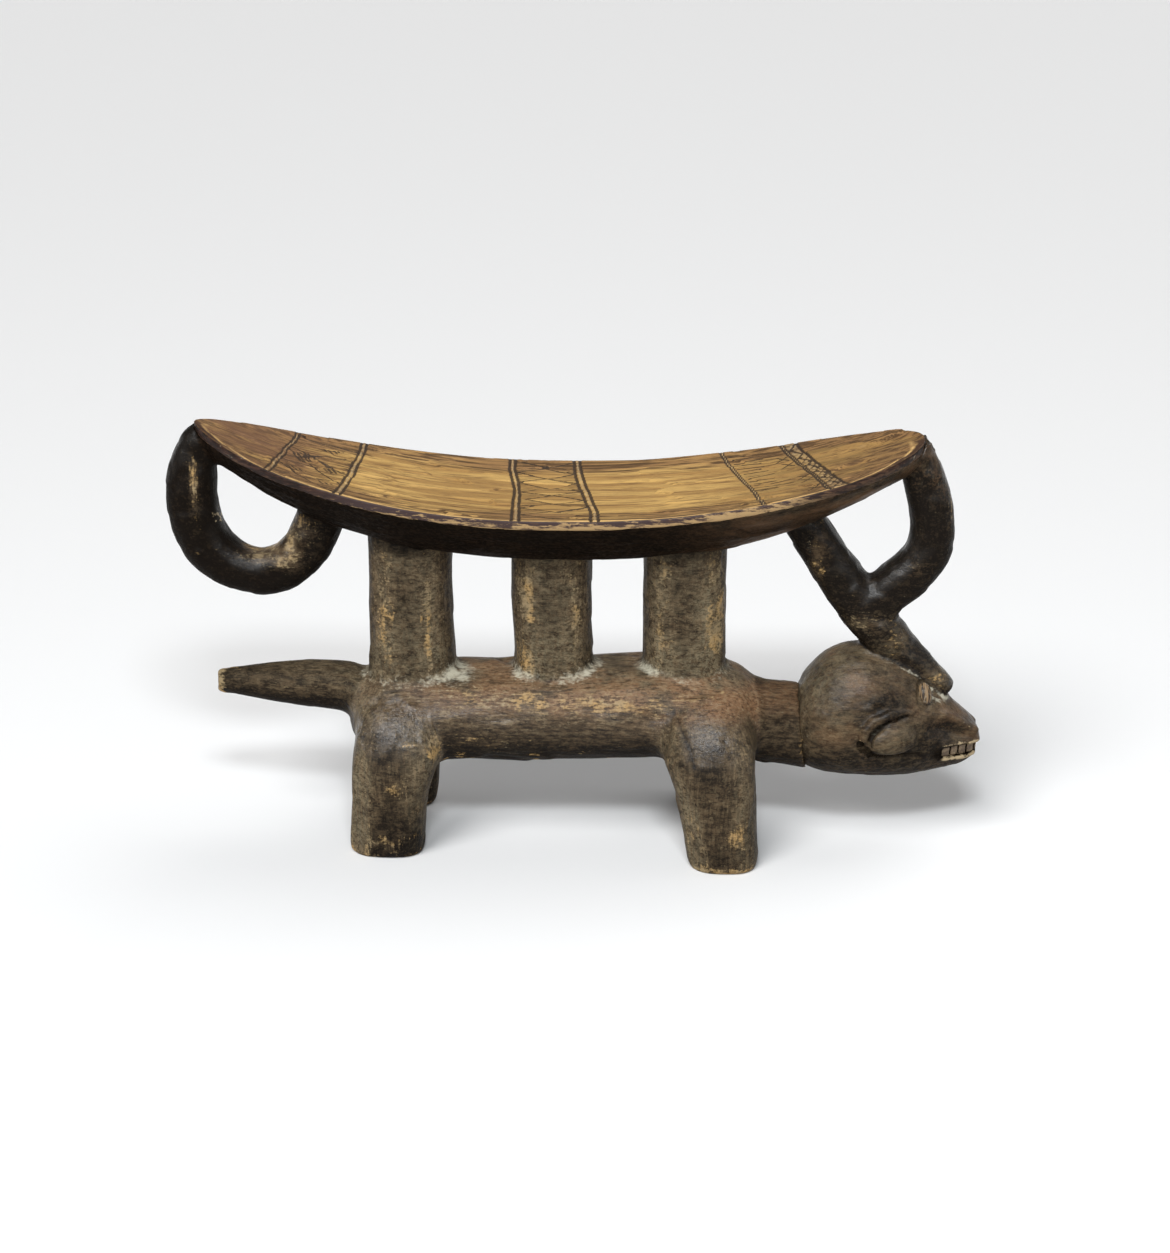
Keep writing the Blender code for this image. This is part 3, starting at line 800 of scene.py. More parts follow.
def paint_upper(skin):
    common_marks(skin, 3, 26)
    p, m = skin.points, skin.marks
    bars = m.pop("bars")
    front = step(30, 115, p[:, 0]) * np.clip(0.75 + 0.8 * clouds(p, (40, 16, 12), 111), 0, 1)
    # the hull under the seat is near-black and browner towards the front: dark patina with painted shade
    m["soot_and_shade"] = 1 - 0.5 * front
    m["wear"] *= 0.15 + 0.85 * bars
    paint_bars(skin, bars)
    m["dust"] *= 0.3
    # near-black on the hull as patina and painted shade; on the unworn bars as patina
    m["black_patina_and_shade"] = (0.90 - 0.68 * front) * (1 - bars) + 0.5 * bars * step(0.5, 0.1, m["wear"])
    m["warm"] = m["warm"] * bars + (1 - bars)


# ---- seat top with its engraved bands

FINE_BANDS = [(-159, -110), (-43, 18), (70, 142)]
FINE_STEP, COARSE_STEP = 0.72, 1.7
TOP_ROWS = 221
# the section of the rim: how far in from the outline and how far down
RIM_PROFILE = (0.25, 0.35), (-0.05, 1.1), (-0.12, 2.0), (-0.05, 3.0), (0.1, 4.1), (0.7, 4.9), (2.5, 5.1)
LINE_A = [(-150.8, 1), (-154.0, 0.2), (-155.8, -1)], [(-148.8, 1), (-152.0, 0.2), (-153.6, -1)]
LINE_B = [(-117.5, 1), (-118.6, 0.2), (-119.8, -1)], [(-114.6, 1), (-115.4, 0.2), (-116.2, -1)]
LINE_C = (
    [(-38.6, 1), (-38, 0.76), (-35.2, 0.46), (-32.8, 0.2), (-31.8, -0.32), (-30, -1)],
    [(-35.8, 1), (-35, 0.76), (-31.6, 0.4), (-29.4, 0.05), (-28, -0.38), (-25.6, -1)],
)
LINE_D = (
    [(-4.2, 1), (-2.2, 0.66), (0.8, 0.3), (5.2, -0.15), (9, -0.53), (10.2, -1)],
    [(-1.2, 1), (0.8, 0.7), (3.8, 0.34), (8.2, -0.12), (12.2, -0.53), (13.6, -1)],
)
LINE_E = (
    [(73.6, 1), (81.6, 0.42), (89.5, -0.18), (95.4, -1)],
    [(75.2, 1), (83.3, 0.42), (91.3, -0.2), (97.2, -1)],
)
LINE_F = (
    [(105, 1), (114.6, 0.38), (122, -0.15), (129, -1)],
    [(106.8, 1), (116.3, 0.38), (123.7, -0.15), (130.6, -1)],
)
LINE_G = [(113.8, 1), (123, 0.4), (130.4, -0.16), (138.4, -1)]
# in the first band: each line's share of the width at its two ends; each patch's place, share, length, height
CROSSING_LINES = (
    *((0.9, 0.72), (0.42, -0.05), (0.1, 0.42), (0.3, -0.5)),
    *((-0.15, -0.12), (-0.35, -0.95), (-0.85, -0.4)),
)
HATCHED_PATCHES = (
    (0.27, 0.22, 0.44, 0.42),
    (0.22, -0.40, 0.40, 0.30),
    (0.76, 0.02, 0.40, 0.42),
    (0.60, 0.66, 0.36, 0.24),
    (0.78, -0.60, 0.28, 0.20),
)


def columns():
    x, end = SEAT_CENTRE - SEAT_HALF * 0.998, SEAT_CENTRE + SEAT_HALF * 0.998
    spots = [x]
    while x < end - 0.6:
        fine = any(low <= x <= high for low, high in FINE_BANDS)
        close = min(x - spots[0], end - x)
        x += min(FINE_STEP if fine else COARSE_STEP, 0.22 + 0.3 * close)
        spots.append(min(x, end))
    spots[-1] = end
    return np.array(spots)


def cross_x(path, s):
    """X of a line across the seat at share `s` of the half width, from 1 at the left rim to -1."""
    xs, ss = zip(*reversed(path))
    return np.interp(s, ss, xs)


class Knife:
    """Collects cuts on the seat's top. Points are (x, y) in millimetres, with y already in real width."""

    def __init__(self, x, y):
        self.flat = np.stack([x, y], axis=1)
        self.cut = np.zeros(len(x))
        self.ink = np.zeros(len(x))
        self.draws = np.random.default_rng(7)

    def stroke(self, path, width, depth, ink=1.0):
        path = np.asarray(path, dtype=float)
        margin = width + 1
        low, high = path.min(0) - margin, path.max(0) + margin
        inside = np.all((self.flat > low) & (self.flat < high), axis=1)
        if not inside.any():
            return
        distance, _ = near_path(self.flat[inside], path)
        profile = np.clip(1.15 - distance / (width / 2), 0, 1)
        self.cut[inside] = np.maximum(self.cut[inside], profile * depth)
        self.ink[inside] = np.maximum(self.ink[inside], np.clip(profile * 1.5, 0, 1) * ink)

    def across(self, path, width, depth, ink=1.0):
        """A line from rim to rim through (x, s) stations, with a little wander."""
        shares = np.linspace(0.985, -0.985, 41)
        xs = cross_x(path, shares) + 0.25 * np.cumsum(self.draws.normal(0, 0.35, 41)) * 0.4
        self.stroke(np.stack([xs, shares * half_width(xs)], axis=1), width, depth, ink)

    def place(self, x, s):
        return (x, s * float(half_width(x)))

    def between(self, first, second, s_first, s_second, share_from=0.0, share_to=1.0):
        """Two points on the straight line from one cross line to another."""
        a = np.array(self.place(cross_x(first, s_first) + 0.8, s_first))
        b = np.array(self.place(cross_x(second, s_second) - 0.8, s_second))
        return a + (b - a) * share_from, a + (b - a) * share_to

    def hatch(self, corners, pitch, angle, width=0.55, depth=0.16, ink=0.75):
        """Parallel scratches that fill a triangle."""
        corners = np.asarray(corners, dtype=float)
        direction = np.array([math.cos(math.radians(angle)), math.sin(math.radians(angle))])
        normal = np.array([-direction[1], direction[0]])
        offsets = corners @ normal
        level = offsets.min() + pitch * 0.6
        while level < offsets.max():
            hits = []
            for a, b in zip(corners, np.roll(corners, -1, axis=0)):
                da, db = a @ normal - level, b @ normal - level
                if (da < 0) != (db < 0):
                    hits.append(a + (b - a) * da / (da - db))
            if len(hits) == 2:
                wander = self.draws.normal(0, 0.15, 2)
                self.stroke([hits[0] + wander, hits[1] + wander], width, depth, ink)
            level += pitch * self.draws.uniform(0.8, 1.25)


def engrave(x, y):
    """Depth of cut, darkness in the cut, and pale ridge between the double lines."""
    knife = Knife(x, y)
    s = y / np.maximum(half_width(x), 1.0)
    chalk = np.zeros(len(x))
    bold = (LINE_A, 1.2, 0.7), (LINE_B, 1.4, 0.8), (LINE_C, 1.7, 0.95), (LINE_D, 1.7, 0.95)
    for (first, second), width, depth in bold:
        knife.across(first, width, depth)
        knife.across(second, width, depth)
        one, two = cross_x(first, s), cross_x(second, s)
        chalk += step(0.42, 0.12, np.abs(2 * x - one - two) / (two - one))
    for (first, second), width, depth in ((LINE_E, 1.0, 0.6), (LINE_F, 1.2, 0.7)):
        knife.across(first, width, depth)
        knife.across(second, width * 0.9, depth * 0.8, 0.8)
        middle = (cross_x(first, s) + cross_x(second, s)) / 2
        chalk += 0.9 * step(0.9, 0.4, np.abs(x - middle) / 0.9)
    knife.across(LINE_G, 1.7, 0.9)
    chalk += 0.6 * step(cross_x(LINE_F[1], s), cross_x(LINE_F[1], s) + 1, x) * (x < cross_x(LINE_G, s))
    chalk *= np.abs(s) < 0.985

    # first band: long crossing lines with cross-hatched patches
    a, b = LINE_A[1], LINE_B[0]
    for s0, s1 in CROSSING_LINES:
        knife.stroke(knife.between(a, b, s0, s1), 1.0, 0.4, 0.9)
    for u, s0, long, tall in HATCHED_PATCHES:
        left, right = knife.between(a, b, s0, s0, u - long / 2, u + long / 2)
        over, _ = knife.between(a, b, s0 + tall / 2, s0 - tall / 2, u, u)
        below, _ = knife.between(a, b, s0 - tall / 2, s0 - tall / 2, u, u)
        for corners in ([left, right, over], [left, right, below]):
            knife.hatch(corners, 2.1, -57, 0.95, 0.3, 0.95)

    # middle band: stacked crosses; the triangles beside the cross lines are hatched
    a, b = LINE_C[1], LINE_D[0]
    shares = np.linspace(0.94, -0.94, 8)
    for high, low in zip(shares, shares[1:]):
        left_high, right_high = knife.between(a, b, high, high)
        left_low, right_low = knife.between(a, b, low, low)
        knife.stroke([left_high, right_low], 1.1, 0.45, 1.0)
        knife.stroke([left_low, right_high], 1.0, 0.4, 0.9)
        cross = (left_high + right_low) / 2
        for one, two in ((left_high, left_low), (right_high, right_low)):
            knife.hatch([one, two, cross * 0.9 + (one + two) * 0.05], 1.6, 4, 0.8, 0.16, 0.5)

    # right of line E: rows of short strokes; left of line F: small crosses
    for s0 in np.linspace(0.86, -0.35, 15):
        start = cross_x(LINE_E[1], s0) + knife.draws.uniform(1.0, 3.0)
        length = knife.draws.uniform(7, 19)
        wander = knife.draws.normal(0, 0.02)
        ends = [knife.place(start, s0), knife.place(start + length, s0 + wander)]
        knife.stroke(ends, 1.1, 0.4, 1.0)
    for s0 in (0.6, 0.42, -0.1, -0.24, -0.6):
        spot = cross_x(LINE_F[0], s0) - 2.5
        for lean in (-0.06, 0.07):
            ends = [knife.place(spot - 5, s0 - lean), knife.place(spot + 1.5, s0 + lean)]
            knife.stroke(ends, 0.9, 0.3, 0.9)

    # last band: bold zigzag with filled notches and a second, mirrored one over it
    a, b = LINE_F[1], LINE_G
    shares = np.linspace(0.94, -0.94, 15)
    for flip, ink in ((0, 1.0), (1, 0.55)):
        places = [0.05 if (k + flip) % 2 else 0.95 for k in range(len(shares))]
        corners = [knife.between(a, b, v, v, place)[0] for v, place in zip(shares, places)]
        for first, second in zip(corners[flip * 3 :], corners[flip * 3 + 1 :]):
            knife.stroke([first, second], 1.1, 0.55, ink)
    for k, v in enumerate(shares[1:-1]):
        left, right = knife.between(a, b, v, v, 0.1, 0.9)
        notch = right if k % 2 else left
        knife.stroke([notch, notch * 0.55 + (left + right) * 0.225], 2.3, 0.7, 1.0)
    return knife.cut, knife.ink, chalk


def deck_piece(material):
    xs = columns()
    half = half_width(xs) + 0.45 * clouds(np.stack([xs, xs * 0, xs * 0], 1), 34, 201)
    rim = rim_z(xs) + 0.3 * clouds(np.stack([xs, xs * 0 + 5, xs * 0], 1), 40, 203)
    soft = np.minimum(1.0, half / 9)
    top_s = np.linspace(-1, 1, TOP_ROWS)
    dish = DISH * np.minimum(1, half / SEAT_WIDE)

    # rows along the seat, round its section: Y, Z, where it lies, and how low on the rim's band
    rows = [(s * (half - 0.8 * soft), rim - dish * (1 - abs(s) ** 2.6), "top", 0.0) for s in top_s]
    left = [(half - inward * soft, rim - down, "band", down / BAND) for inward, down in RIM_PROFILE]
    under = [(share * half, rim - RIM_PROFILE[-1][1], "under", 0.0) for share in (0.5, -0.5)]
    rows += left + under + [(-y, z, kind, low) for y, z, kind, low in reversed(left)]
    rows_y, rows_z, rows_kind, rows_low = zip(*rows)
    count = len(rows)
    points = np.stack([np.tile(xs, (count, 1)), rows_y, rows_z], axis=2).reshape(-1, 3)
    kind = np.repeat(rows_kind, len(xs))
    top, band = kind == "top", kind == "band"
    x, y, z = points.T.copy()
    halves = np.maximum(half_width(x), 1.0)
    s = y / halves

    cut, ink, chalk = engrave(x, y)
    cut, ink, chalk = cut * top, ink * top, chalk * top
    wander = 0.5 * clouds(points, (60, 12, 30), 211) + facets(points, (48, 10, 30), 0.04, 213)
    cracks = step(0.62, 0.8, noise(points, (46, 1.5, 30), 215))
    cracks *= step(0.2, 0.6, clouds(points, (70, 20, 40), 217))
    cracks *= top * (0.25 + 0.75 * step(0.55, 0.9, np.abs(s)))
    points[:, 2] += top * (wander * step(1.0, 0.93, np.abs(s)) - cut - 0.3 * cracks)
    chip = step(0.28, 0.62, clouds(points, (6, 5, 3.5), 221))
    chip *= step(-0.3, 0.5, clouds(points, (44, 90, 60), 223))
    chip *= np.maximum(band * 1.0, top * step(0.955, 0.99, np.abs(s)))
    points[:, 1] -= np.sign(y) * chip * 0.9
    points[:, 2] -= top * chip * 0.7
    points[:, 1] += np.sign(y) * band * 0.22 * clouds(points, (9, 9, 4), 225)

    columns_count = len(xs)
    faces = []
    for r in range(count):
        a, b = r * columns_count, (r + 1) % count * columns_count
        run = np.arange(columns_count - 1)
        faces.append(np.stack([a + run, a + run + 1, b + run + 1, b + run], axis=1))
    faces = np.concatenate(faces).tolist()
    faces.append([r * columns_count for r in range(count)])
    faces.append([r * columns_count + columns_count - 1 for r in reversed(range(count))])
    far_dark = step(0.55, 0.82, s)
    near_dark = step(-0.42 - 0.14 * np.sin(x / 38), -0.74, s) * (0.6 + 0.4 * np.cos((x - 60) / 28) ** 2)
    outline = np.stack([np.concatenate([xs, xs[::-1]]), np.concatenate([half, -half[::-1]])], 1)
    edge_gap = np.full(len(x), 99.0)
    near_rim = top & ((halves - np.abs(y) < 9) | (np.abs(x - SEAT_CENTRE) > 170))
    edge_gap[near_rim], _ = near_path(points[near_rim][:, :2], outline[::3])
    near_side = step(9.0, -6.0, y)
    tips = top * np.maximum(step(-150, -190, x), step(135, 172, x)) * near_side
    tip_width = 0.3 + 4.6 * step(135, 180, x) + 3.4 * step(-160, -195, x)
    tail_end = step(-118, -165, x)
    nose_end = step(95, 165, x)
    in_band = 0.3 * step(-160, -150, x) * step(-112, -120, x) + 0.12 * step(-42, -30, x) * step(16, 4, x)
    cleaner = 0.35 * step(45, 75, x) * step(125, 100, x) - 0.5 * step(-50, -110, x)
    lip_strength = 0.6 + 0.4 * step(-150, -100, x)
    shade = 0.8 * far_dark + 0.85 * near_dark + 0.8 * tail_end + 0.5 * nose_end + in_band
    marks = {
        "groove": np.clip(ink, 0, 1),
        "chalk": np.clip(chalk * (1 - ink), 0, 1),
        "shade": np.clip(shade, 0, 1.2) * top,
        "nose_end": step(60, 125, x) * top,
        "red": np.clip(tail_end + 0.25 * nose_end, 0, 1) * top,
        "crack": cracks,
        "band": band * 1.0,
        "lower": np.repeat(rows_low, len(xs)) + band * cleaner,
        "lip": np.clip(1.2 * top * bell(edge_gap - tip_width - 0.8, 0.8), 0, 1) * near_side * lip_strength,
        "chip": chip,
        "ends": np.maximum(step(-100, -140, x), step(100, 132, x)),
        "dark_tip": np.clip(tips * step(0.75, 1.25, tip_width / np.maximum(edge_gap, 0.05)), 0, 1),
    }
    make_piece("seat_top", points, faces, "seat", material, marks)


# ---- teeth and eyes


def teeth_piece(material):
    skin = fuse([solid_of("teeth")], 0.4, 0.0)
    skin.relax(3)
    skin.push(clouds(skin.points, 3.0, 301) * 0.22 + facets(skin.points, 2.5, 0.08, 303) * 0.6)
    marks = {"hollow": np.clip(skin.hollowness(3) / 0.1, -1, 1)}
    make_piece("teeth_row", skin.points, skin.faces, "teeth", material, marks)


def eye_piece(side, hand, material):
    y = surface_y(solid_of("skull"), *EYE_XZ)
    points, faces = ball((0, 0, 0), (3.5, 2.8, 5.9), rings=40, sides=64)
    ridges = 0.20 * np.cos(points[:, 0] * 2 * math.pi / 1.3)
    points[:, 1] += side * ridges * np.exp(-((points[:, 0] / 2.2) ** 2))
    tilt = Matrix.Rotation(math.radians(-12), 3, "Y") @ Matrix.Rotation(math.radians(side * 28), 3, "X")
    points = points @ np.array(tilt).T + np.array((EYE_XZ[0], side * (y + 1.7), EYE_XZ[1] - 0.3))
    make_piece("carved_eye_" + hand, points, faces, "eye_" + hand, material, {})


# ---- materials


class Paint:
    """A small builder for procedural wood materials, in object coordinates, metres.

    `colour` is the finish so far; each coat goes over it.
    """

    def __init__(self, name, colour):
        self.material = bpy.data.materials.new(name)
        self.material.use_nodes = True
        self.tree = self.material.node_tree
        self.shader = self.tree.nodes["Principled BSDF"]
        self.where = self.node("TexCoord").outputs["Object"]
        self.colour = colour

    def node(self, kind, **inputs):
        made = self.tree.nodes.new("ShaderNode" + kind)
        for name, value in inputs.items():
            made.inputs[name.replace("_", " ")].default_value = value
        return made

    def link(self, source, target):
        if isinstance(source, (int, float)):
            target.default_value = source
        elif isinstance(source, tuple):
            target.default_value = (*source, 1.0)
        else:
            self.tree.links.new(source, target)

    def marks(self, *names):
        nodes = [self.node("Attribute") for _ in names]
        for node, name in zip(nodes, names):
            node.attribute_name = name
        return [node.outputs["Fac"] for node in nodes]

    def grain(self, size_mm, detail=3.0, rough=0.55):
        """Noise whose features are size_mm long on X, Y and Z; 0 to 1."""
        scale = self.node("Mapping", Scale=[1000.0 / v for v in size_mm])
        self.link(self.where, scale.inputs["Vector"])
        node = self.node("TexNoise", Scale=1.0, Detail=detail, Roughness=rough)
        self.link(scale.outputs["Vector"], node.inputs["Vector"])
        return node.outputs["Fac"]

    def calc(self, operation, a, b):
        node = self.node("Math")
        node.operation = operation
        self.link(a, node.inputs[0])
        self.link(b, node.inputs[1])
        return node.outputs[0]

    def times(self, a, b):
        return self.calc("MULTIPLY", a, b)

    def plus(self, first, *others):
        for other in others:
            first = self.calc("ADD", first, other)
        return first

    def around(self, value, share):
        """The noise `value` as a swing around 0, `share` times as strong."""
        return self.times(self.plus(value, -0.5), share)

    def ramp(self, value, low, high):
        """0 below low, 1 above high, smooth between."""
        node = self.node("MapRange", From_Min=low, From_Max=high)
        node.interpolation_type = "SMOOTHSTEP"
        self.link(value, node.inputs["Value"])
        return node.outputs["Result"]

    def mix(self, share, a, b):
        node = self.node("Mix")
        node.data_type = "RGBA"
        for source, socket in ((share, 0), (a, 6), (b, 7)):
            self.link(source, node.inputs[socket])
        return node.outputs[2]

    def coat(self, colour, share, strength=1.0):
        self.colour = self.mix(self.times(share, strength), self.colour, colour)

    def lean(self, share, a, b):
        """A number that goes from a to b."""
        node = self.node("Mix")
        for source, socket in ((share, 0), (a, 2), (b, 3)):
            self.link(source, node.inputs[socket])
        return node.outputs[0]

    def finish(self, roughness, specular, *bumps):
        """Plugs the colour in; each bump is a height and its depth in millimetres."""
        normal = None
        for height, depth in bumps:
            node = self.node("Bump", Distance=depth * MM, Strength=1.0)
            self.link(height, node.inputs["Height"])
            if normal is not None:
                self.link(normal, node.inputs["Normal"])
            normal = node.outputs["Normal"]
        self.link(self.colour, self.shader.inputs["Base Color"])
        self.link(roughness, self.shader.inputs["Roughness"])
        self.link(specular, self.shader.inputs["Specular IOR Level"])
        self.link(normal, self.shader.inputs["Normal"])
        return self.material


BROWN = (0.135, 0.092, 0.052)
DEEP_BROWN = (0.022, 0.015, 0.010)
# near-black of soot, also the colour of painted shade
SOOT_AND_SHADE = (0.0085, 0.0062, 0.0045)
# near-black of patina, also the colour of painted shade
BLACK_PATINA_AND_SHADE = (0.0045, 0.0028, 0.0018)
WARM = (0.200, 0.110, 0.056)
OLIVE = (0.240, 0.200, 0.125)
OCHRE = (0.46, 0.29, 0.115)
DULL_OCHRE = (0.30, 0.225, 0.125)
SCRAPED = (0.30, 0.225, 0.130)
DUST = (0.53, 0.50, 0.39)
PALE_WOOD = (0.40, 0.31, 0.19)


def old_wood(name, rough_cut):
    """Dark, dusty, worn wood; `rough_cut` says how strongly its cracks and scrapes show."""
    paint = Paint(name, BROWN)
    times, plus, around, ramp = paint.times, paint.plus, paint.around, paint.ramp
    fibre = paint.grain((10, 1.5, 1.5), 4.0, 0.65)
    scrape = paint.grain((1.5, 1.5, 10), 4.0, 0.65)
    pores = paint.grain((4, 1.0, 1.0), 1.0, 0.5)
    mottle = paint.grain((6, 3.6, 3.6), 5.0, 0.75)
    blotch = paint.grain((26, 20, 22), 5.0, 0.6)
    specks = paint.grain((2.0, 1.4, 1.4), 2.0, 0.6)
    soot_and_shade, warm, film, wear, dust = paint.marks("soot_and_shade", "warm", "film", "wear", "dust")
    pale, black_patina_and_shade, hollow, gloss = paint.marks("pale", "black_patina_and_shade", "hollow", "gloss")
    upright, under = paint.marks("upright", "under")
    lines = paint.lean(upright, fibre, scrape)

    # the finish: bare brown, red, grey film, then soot with painted shade
    paint.coat(DEEP_BROWN, ramp(plus(times(mottle, 0.6), times(specks, 0.4)), 0.38, 0.62))
    paint.coat(WARM, warm, ramp(blotch, 0.36, 0.56))
    paint.coat(OLIVE, times(film, ramp(plus(times(mottle, 0.4), times(lines, 0.6)), 0.58, 0.42)), 0.72)
    uneven = ramp(plus(times(mottle, 0.5), times(specks, 0.5)), 0.42, 0.57)
    paint.coat(SOOT_AND_SHADE, plus(times(soot_and_shade, 0.66), times(times(soot_and_shade, 0.36), uneven)))

    # what cuts through it: worn ochre, scrapes, cracks and pores
    worn = plus(wear, around(lines, 1.3), around(specks, 1.1), around(mottle, 0.6))
    paint.coat(paint.mix(ramp(blotch, 0.42, 0.58), OCHRE, DULL_OCHRE), ramp(worn, 0.30, 0.78), 0.9)
    light = times(ramp(plus(times(lines, 0.55), times(specks, 0.45)), 0.51, 0.58), 0.65 * rough_cut)
    paint.coat(SCRAPED, light, paint.lean(soot_and_shade, 1.0, 0.10))
    paint.coat(SOOT_AND_SHADE, ramp(plus(times(lines, 0.6), times(specks, 0.4)), 0.48, 0.41), 0.85 * rough_cut)
    paint.coat(SOOT_AND_SHADE, ramp(pores, 0.41, 0.36), 0.7 * rough_cut)

    # what lies on it: dust, black patina and painted black shade, bare lips, dirt in the hollows
    dusty = plus(dust, around(plus(times(specks, 0.5), times(lines, 0.5)), 2.2))
    paint.coat(DUST, ramp(dusty, 0.25, 1.05), 0.8)
    paint.coat(BLACK_PATINA_AND_SHADE, black_patina_and_shade, 0.97)
    paint.coat(PALE_WOOD, ramp(plus(pale, specks), 0.85, 1.2), 0.95)
    paint.coat(BLACK_PATINA_AND_SHADE, ramp(hollow, 0.25, 0.9), 0.6)
    bare = paint.lean(gloss, 0.45, 0.27)
    roughness = paint.lean(ramp(plus(dusty, times(black_patina_and_shade, 0.7)), 0.3, 0.9), bare, 0.85)
    shadow = paint.calc("MAXIMUM", black_patina_and_shade, times(under, 0.8))
    specular = paint.lean(shadow, paint.lean(gloss, 0.05, 0.50), 0.02)
    return paint.finish(roughness, specular, (lines, 0.2 + 0.4 * rough_cut), (mottle, 0.55), (specks, 0.14))


GOLD, TAN = (0.53, 0.330, 0.112), (0.355, 0.205, 0.070)
NOSE_BROWN, FIBRE_BROWN, FINE_BROWN = (0.200, 0.120, 0.044), (0.19, 0.105, 0.042), (0.16, 0.09, 0.04)
SHADE_LIGHT, SHADE_DARK = (0.27, 0.150, 0.064), (0.075, 0.042, 0.022)
RED_END, CRACK, TIP_STAIN = (0.175, 0.090, 0.050), (0.03, 0.018, 0.011), (0.050, 0.026, 0.018)
LIP_GOLD, CHALK, INK = (0.78, 0.50, 0.20), (0.48, 0.355, 0.195), (0.040, 0.028, 0.020)
RIM_STAIN, RIM_TAN, RIM_BROWN = (0.048, 0.030, 0.029), (0.36, 0.235, 0.11), (0.090, 0.050, 0.028)
END_BLACK, END_BROWN = (0.012, 0.0075, 0.006), (0.052, 0.026, 0.018)
FRESH_CHIP = (0.74, 0.62, 0.44)


def seat_wood():
    paint = Paint("golden_seat_wood", GOLD)
    times, plus, around, ramp = paint.times, paint.plus, paint.around, paint.ramp
    streak = paint.grain((120, 6.5, 12), 3.0, 0.5)
    fibre = paint.grain((46, 1.5, 3.0), 3.0, 0.6)
    fine = paint.grain((12, 0.5, 1.0), 2.0, 0.6)
    blotch = paint.grain((60, 18, 30))
    specks = paint.grain((2.2, 1.5, 1.5), 3.0, 0.7)
    dirt = paint.grain((9, 5, 1.6), 5.0, 0.75)
    shade, red, nose_end, dark_tip = paint.marks("shade", "red", "nose_end", "dark_tip")
    crack, groove, chalk, lip, chip = paint.marks("crack", "groove", "chalk", "lip", "chip")
    band, ends, lower = paint.marks("band", "ends", "lower")

    # the wood of the top, browner and redder towards the ends
    paint.coat(TAN, ramp(streak, 0.40, 0.60))
    paint.coat(NOSE_BROWN, times(nose_end, ramp(streak, 0.62, 0.40)), 0.9)
    paint.coat(FIBRE_BROWN, ramp(fibre, 0.53, 0.61), 0.75)
    paint.coat(FINE_BROWN, ramp(fine, 0.55, 0.64), 0.4)
    brown = paint.mix(ramp(fibre, 0.44, 0.57), SHADE_LIGHT, SHADE_DARK)
    paint.coat(brown, ramp(plus(shade, around(fibre, 2.2), around(blotch, 0.9)), 0.15, 0.85), 0.88)
    paint.coat(RED_END, times(red, ramp(blotch, 0.2, 0.7)), 0.8)

    # cracks, stains and the engraving
    paint.coat(CRACK, crack, 0.85)
    paint.coat(TIP_STAIN, dark_tip, 0.9)
    paint.coat(LIP_GOLD, lip, ramp(fine, 0.3, 0.5))
    paint.coat(CHALK, times(chalk, ramp(specks, 0.32, 0.6)), 0.8)
    paint.coat(INK, ramp(groove, 0.12, 0.6), 0.92)

    # the rim's band and its chips
    stained = plus(dirt, times(plus(lower, -0.25), 0.22))
    rim = paint.mix(ramp(stained, 0.53, 0.62), RIM_STAIN, RIM_TAN)
    rim = paint.mix(times(ramp(dirt, 0.42, 0.35), 0.8), rim, RIM_BROWN)
    rim = paint.mix(times(ends, 0.92), rim, paint.mix(ramp(dirt, 0.40, 0.62), END_BLACK, END_BROWN))
    paint.coat(rim, band)
    paint.coat(FRESH_CHIP, times(ramp(chip, 0.35, 0.8), ramp(specks, 0.42, 0.6)), 0.85)
    roughness = paint.lean(ramp(specks, 0.35, 0.65), 0.38, 0.54)
    return paint.finish(roughness, 0.13, (fibre, 0.22), (streak, 0.5), (fine, 0.08))


def tooth_wood():
    paint = Paint("bare_tooth_wood", (0.230, 0.165, 0.100))
    specks = paint.grain((1.6, 0.9, 1.2), 3.0, 0.65)
    (hollow,) = paint.marks("hollow")
    paint.coat((0.090, 0.060, 0.038), paint.ramp(paint.grain((6, 5, 4), 2.0), 0.35, 0.65))
    paint.coat((0.03, 0.02, 0.014), paint.ramp(hollow, 0.0, 0.6), 0.85)
    paint.coat((0.09, 0.06, 0.04), paint.ramp(specks, 0.55, 0.7), 0.4)
    return paint.finish(0.62, 0.35, (specks, 0.15))


def eye_wood():
    paint = Paint("striped_eye_wood", (0.026, 0.016, 0.010))
    specks = paint.grain((2, 2, 2), 3.0, 0.65)
    lines = paint.grain((0.9, 20, 8), 2.0, 0.5)
    paint.coat((0.215, 0.140, 0.072), paint.ramp(lines, 0.44, 0.56))
    paint.coat((0.42, 0.38, 0.30), paint.ramp(specks, 0.52, 0.7), 0.4)
    return paint.finish(0.55, 0.35, (lines, 0.2))


# ---- build

torso, head, upper = torso_skin(), head_skin(), upper_skin()
paint_torso(torso)
paint_head(head)
paint_upper(upper)
release(torso, TORSO, old_wood("scraped_dark_wood", 0.62))
release(head, HEAD, old_wood("smoother_dark_wood", 0.42))
release(upper, UPPER, old_wood("handled_dark_wood", 0.22))
deck_piece(seat_wood())
teeth_piece(tooth_wood())
eyes = eye_wood()
eye_piece(-1, "right", eyes)
eye_piece(1, "left", eyes)

# ---- studio

scene = bpy.context.scene


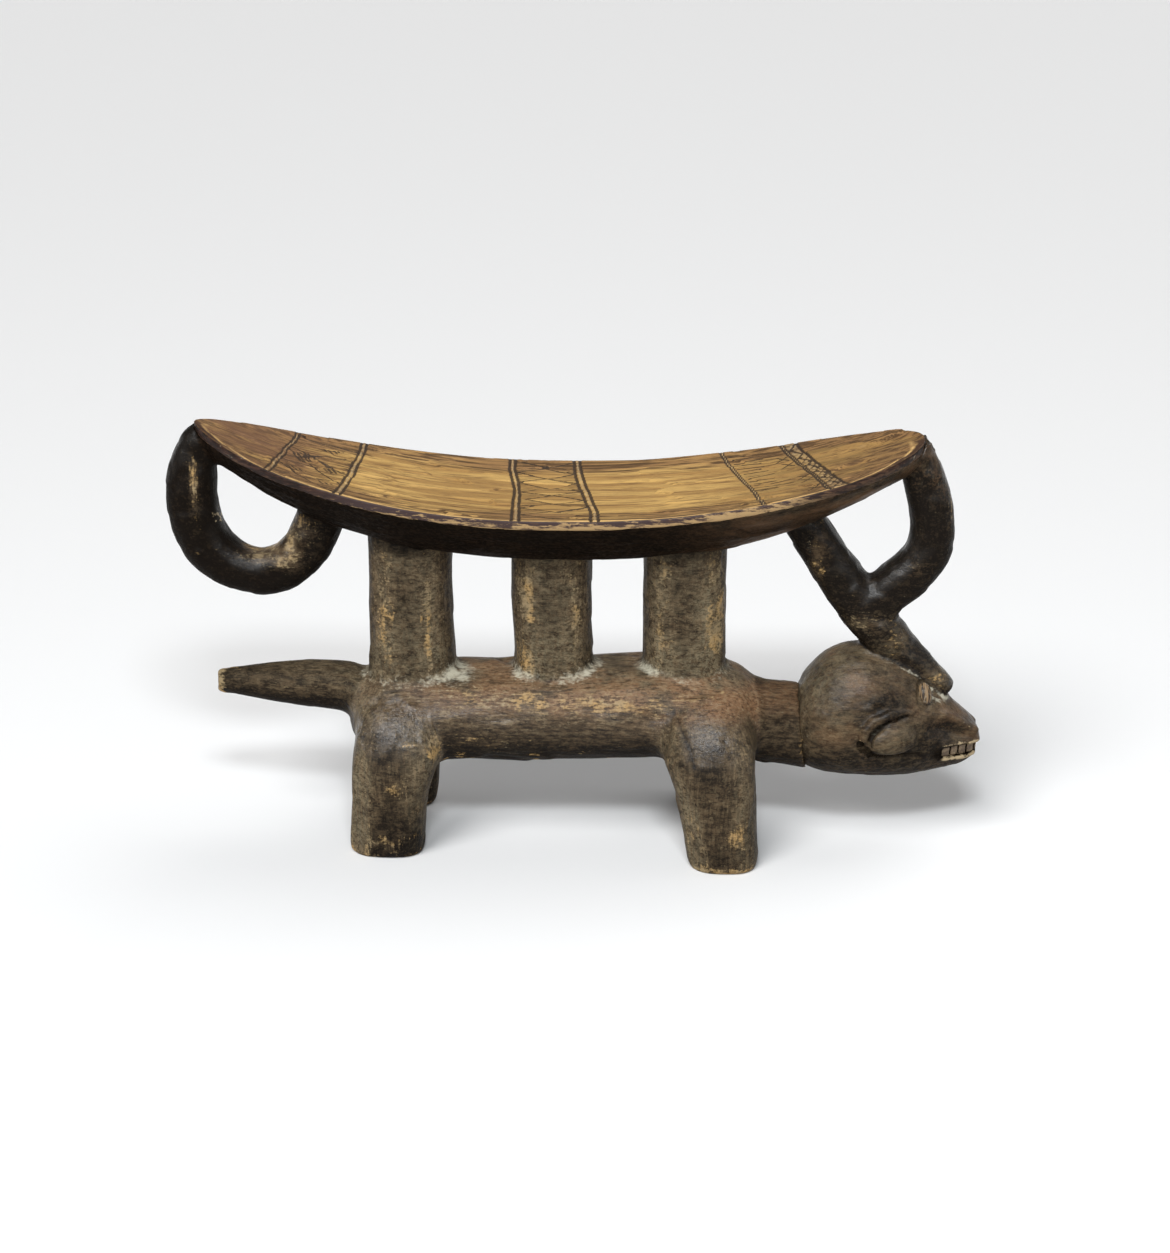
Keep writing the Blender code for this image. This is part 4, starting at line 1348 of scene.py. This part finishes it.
def floor():
    mesh = bpy.data.meshes.new("floor")
    corners = [(-9, -9, 0), (9, -9, 0), (9, 9, 0), (-9, 9, 0)]
    mesh.from_pydata(corners, [], [(0, 1, 2, 3)])
    ground = bpy.data.objects.new("floor", mesh)
    scene.collection.objects.link(ground)
    paper = bpy.data.materials.new("paper")
    paper.use_nodes = True
    shader = paper.node_tree.nodes["Principled BSDF"]
    shader.inputs["Base Color"].default_value = (0.86, 0.86, 0.86, 1)
    shader.inputs["Roughness"].default_value = 0.9
    mesh.materials.append(paper)


def light(name, kind, energy, toward, place=(0, 0, 0), **settings):
    """A lamp that shines from the direction `toward`."""
    lamp = bpy.data.lights.new(name, kind)
    lamp.energy = energy
    for setting, value in settings.items():
        setattr(lamp, setting, value)
    made = bpy.data.objects.new(name, lamp)
    made.location = place
    made.rotation_euler = Vector(toward).to_track_quat("Z", "Y").to_euler()
    scene.collection.objects.link(made)


def surroundings(strength):
    world = bpy.data.worlds.new("studio")
    world.use_nodes = True
    background = world.node_tree.nodes["Background"]
    background.inputs["Color"].default_value = (1, 1, 1, 1)
    background.inputs["Strength"].default_value = strength
    scene.world = world


def camera():
    pitch, turn, distance = math.radians(21.5), math.radians(3.0), 1.25
    level = math.cos(pitch)
    forward = Vector((-math.sin(turn) * level, math.cos(turn) * level, -math.sin(pitch)))
    target = Vector((0.0044, 0, 0.118))
    lens = bpy.data.cameras.new("camera")
    lens.sensor_width = 36
    lens.lens = 67.8
    lens.clip_start = 0.01
    lens.clip_end = 40
    seen = bpy.data.objects.new("camera", lens)
    seen.location = target - forward * distance
    seen.rotation_euler = forward.to_track_quat("-Z", "Y").to_euler()
    scene.collection.objects.link(seen)
    scene.camera = seen


floor()
light("daylight_front", "SUN", 2.3, (-0.45, -0.75, 1.0), angle=math.radians(30))
light("daylight_back", "SUN", 0.95, (0.5, 0.45, 1.0), angle=math.radians(50))
window = {"shape": "RECTANGLE", "size": 0.34, "size_y": 0.20, "color": (0.93, 0.97, 1.0)}
light("window", "AREA", 13, (0.10, -1.15, 1.13), (0.10, -1.15, 1.25), **window)
surroundings(0.12)
scene.view_settings.view_transform = "Standard"
camera()
